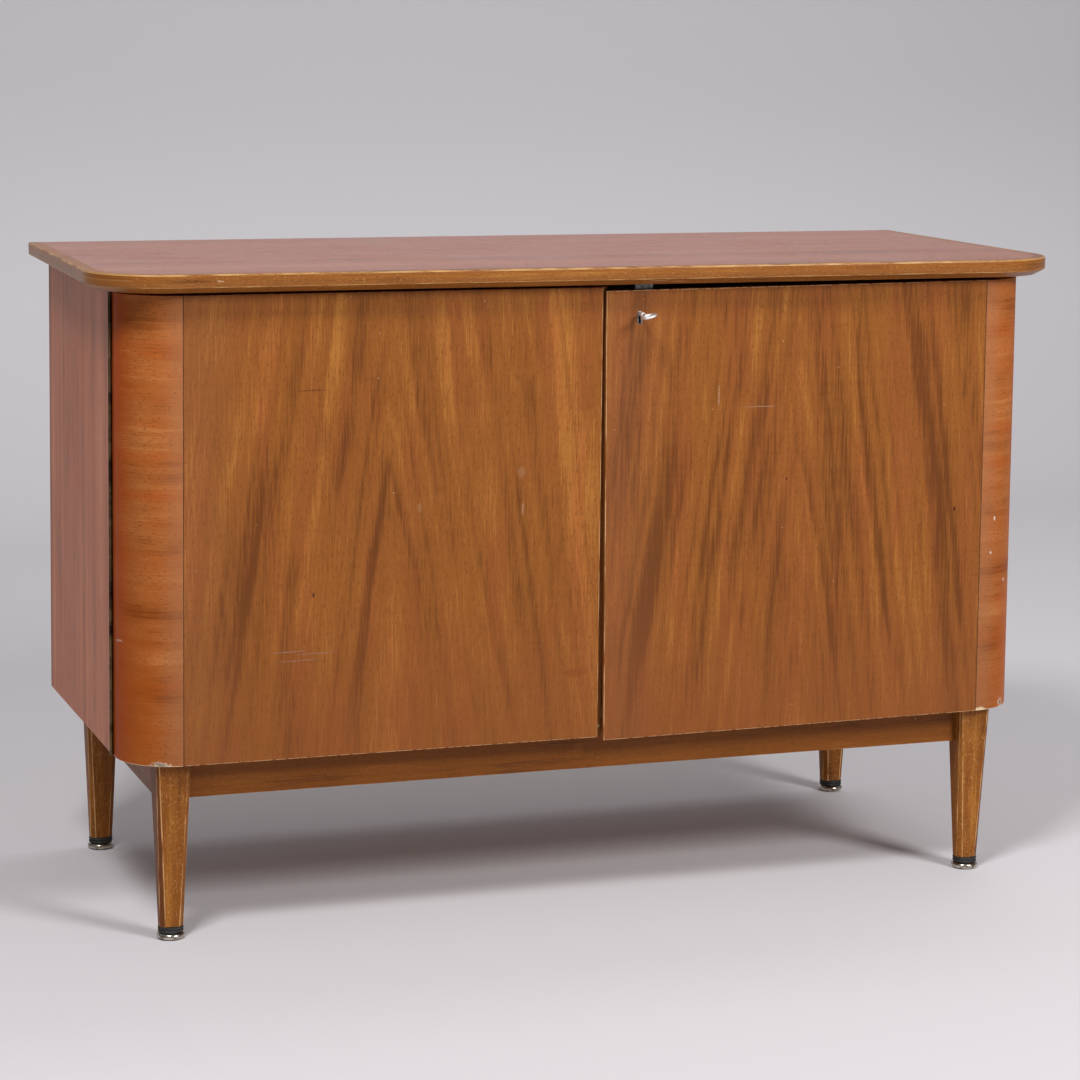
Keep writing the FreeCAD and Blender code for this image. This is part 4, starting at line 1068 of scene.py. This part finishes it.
key_shape = revolved(stem_profile, stem_steps)
for vert in key_shape.verts:
    vert.co = vert.co.xzy / mm
bow_loops = []
for around in circle(bow_steps):
    loop = []
    for turn in circle(section_steps):
        radius = (bow_outer + bow_hole) / 2 + (bow_outer - bow_hole) / 2 * squared(math.cos(turn))
        rise = bow_half_thick * squared(math.sin(turn))
        loop.append(key_shape.verts.new((radius * math.cos(around), bow_y + radius * math.sin(around), rise)))
    bow_loops.append(loop)
bridge(key_shape, bow_loops, closed=True)
bit = bmesh.ops.create_cube(key_shape, size=1.0)
for vert in bit["verts"]:
    vert.co = bit_middle + Vector([c * size for c, size in zip(vert.co, bit_size)])
bit_edges = list({e for v in bit["verts"] for e in v.link_edges})
bmesh.ops.bevel(key_shape, geom=bit_edges, offset=bit_bevel, segments=2, profile=0.5, affect="EDGES")
key_turn = Matrix.Rotation(key_tilt, 4, "Y")
for vert in key_shape.verts:
    vert.co = (key_turn @ vert.co + Vector((key_x, 0.0, key_z))) * mm
bmesh.ops.recalc_face_normals(key_shape, faces=key_shape.faces)
make_piece("cupboard_key", key_shape, "key", bright_nickel, "key", smooth=40)


# The studio: a pale seamless floor that curves up into the backdrop, and soft lamps.
# From behind, the backdrop is clear, so that the cabinet's back can be seen through it.

studio_paper, tree, place = new_material("studio_paper")
rise = add(tree, "ShaderNodeSeparateXYZ", place).outputs["Z"]
# Higher up the paper is painted darker, as painted shade on the backdrop.
fade_from, fade_to = 350, 950
paper = blend(tree, ramp(tree, rise, fade_from, fade_to), "#cecbce", "#c1bec1")
shader = add(tree, "ShaderNodeBsdfPrincipled", named={"Base Color": paper, "Roughness": 0.9})
behind = add(tree, "ShaderNodeNewGeometry").outputs["Backfacing"]
shader = add(tree, "ShaderNodeMixShader", behind, shader, add(tree, "ShaderNodeBsdfTransparent"))
add(tree, "ShaderNodeOutputMaterial", shader)
floor_front, bend_start, bend_radius, wall_top, half_width = -6.0, 2.4, 1.2, 6.0, 7.0
bend_steps = 24
sweep_line = [(floor_front, 0.0), (bend_start, 0.0)]
for step in range(1, bend_steps + 1):
    turn = math.pi / 2 * step / bend_steps
    sweep_line.append((bend_start + bend_radius * math.sin(turn), bend_radius * (1 - math.cos(turn))))
sweep_line.append((bend_start + bend_radius, wall_top))
sweep_mesh = bpy.data.meshes.new("studio_sweep")
sweep_mesh.from_pydata([(x, y, z) for y, z in sweep_line for x in (-half_width, half_width)], [],
                       [(i, i + 1, i + 3, i + 2) for i in range(0, 2 * len(sweep_line) - 2, 2)])
sweep_mesh.shade_smooth()
studio_sweep = bpy.data.objects.new("studio_sweep", sweep_mesh)
bpy.context.scene.collection.objects.link(studio_sweep)
sweep_mesh.materials.append(studio_paper)


def soft_lamp(name, at, towards, size, power):
    """Square area lamp aimed at a point."""
    data = bpy.data.lights.new(name, "AREA")
    data.shape = "SQUARE"
    data.size = size
    data.energy = power
    lamp = bpy.data.objects.new(name, data)
    bpy.context.scene.collection.objects.link(lamp)
    lamp.location = at
    lamp.rotation_euler = (Vector(towards) - Vector(at)).to_track_quat("-Z", "Y").to_euler()


lamp_target = (0.0, 0.0, 0.45)
soft_lamp("lamp_right", (1.9, -3.4, 2.7), lamp_target, size=1.1, power=128)
soft_lamp("lamp_left", (-1.8, -2.1, 3.9), lamp_target, size=0.9, power=120)
soft_lamp("lamp_wall", (1.5, 1.2, 4.2), (1.5, 3.6, 1.4), size=2.0, power=47)
world = bpy.data.worlds.new("studio_air")
bpy.context.scene.world = world
world.use_nodes = True
world.node_tree.nodes.clear()
air = add(world.node_tree, "ShaderNodeBackground", linear("#e6e8ec"), 0.28)
add(world.node_tree, "ShaderNodeOutputWorld", air)


# The camera stands left of the middle and a little above the top, as in the photograph.
# Its place, lens and shift were found by least squares from the edges and feet in the photograph.

image_size = 1080
focal_pixels = 3144.21
centre_pixels = (558.93, 361.52)
camera_at = Vector((-1.29229, -3.68688, 1.09024))
yaw, pitch, roll = math.radians(19.625), math.radians(-6.55), math.radians(0.698)
camera_data = bpy.data.cameras.new("camera")
camera_data.sensor_width = 36.0
camera_data.lens = focal_pixels / image_size * camera_data.sensor_width
camera_data.shift_x = (image_size / 2 - centre_pixels[0]) / image_size
camera_data.shift_y = (centre_pixels[1] - image_size / 2) / image_size
camera_data.clip_end = 60
ahead = Vector((math.sin(yaw) * math.cos(pitch), math.cos(yaw) * math.cos(pitch), math.sin(pitch)))
level = Vector((math.cos(yaw), -math.sin(yaw), 0))
above = level.cross(ahead)
right = level * math.cos(roll) + above * math.sin(roll)
up = above * math.cos(roll) - level * math.sin(roll)
camera = bpy.data.objects.new("camera", camera_data)
bpy.context.scene.collection.objects.link(camera)
camera.matrix_world = Matrix([[right[i], up[i], -ahead[i], camera_at[i]] for i in range(3)] + [[0, 0, 0, 1]])
bpy.context.scene.camera = camera
bpy.context.scene.view_settings.view_transform = "Standard"
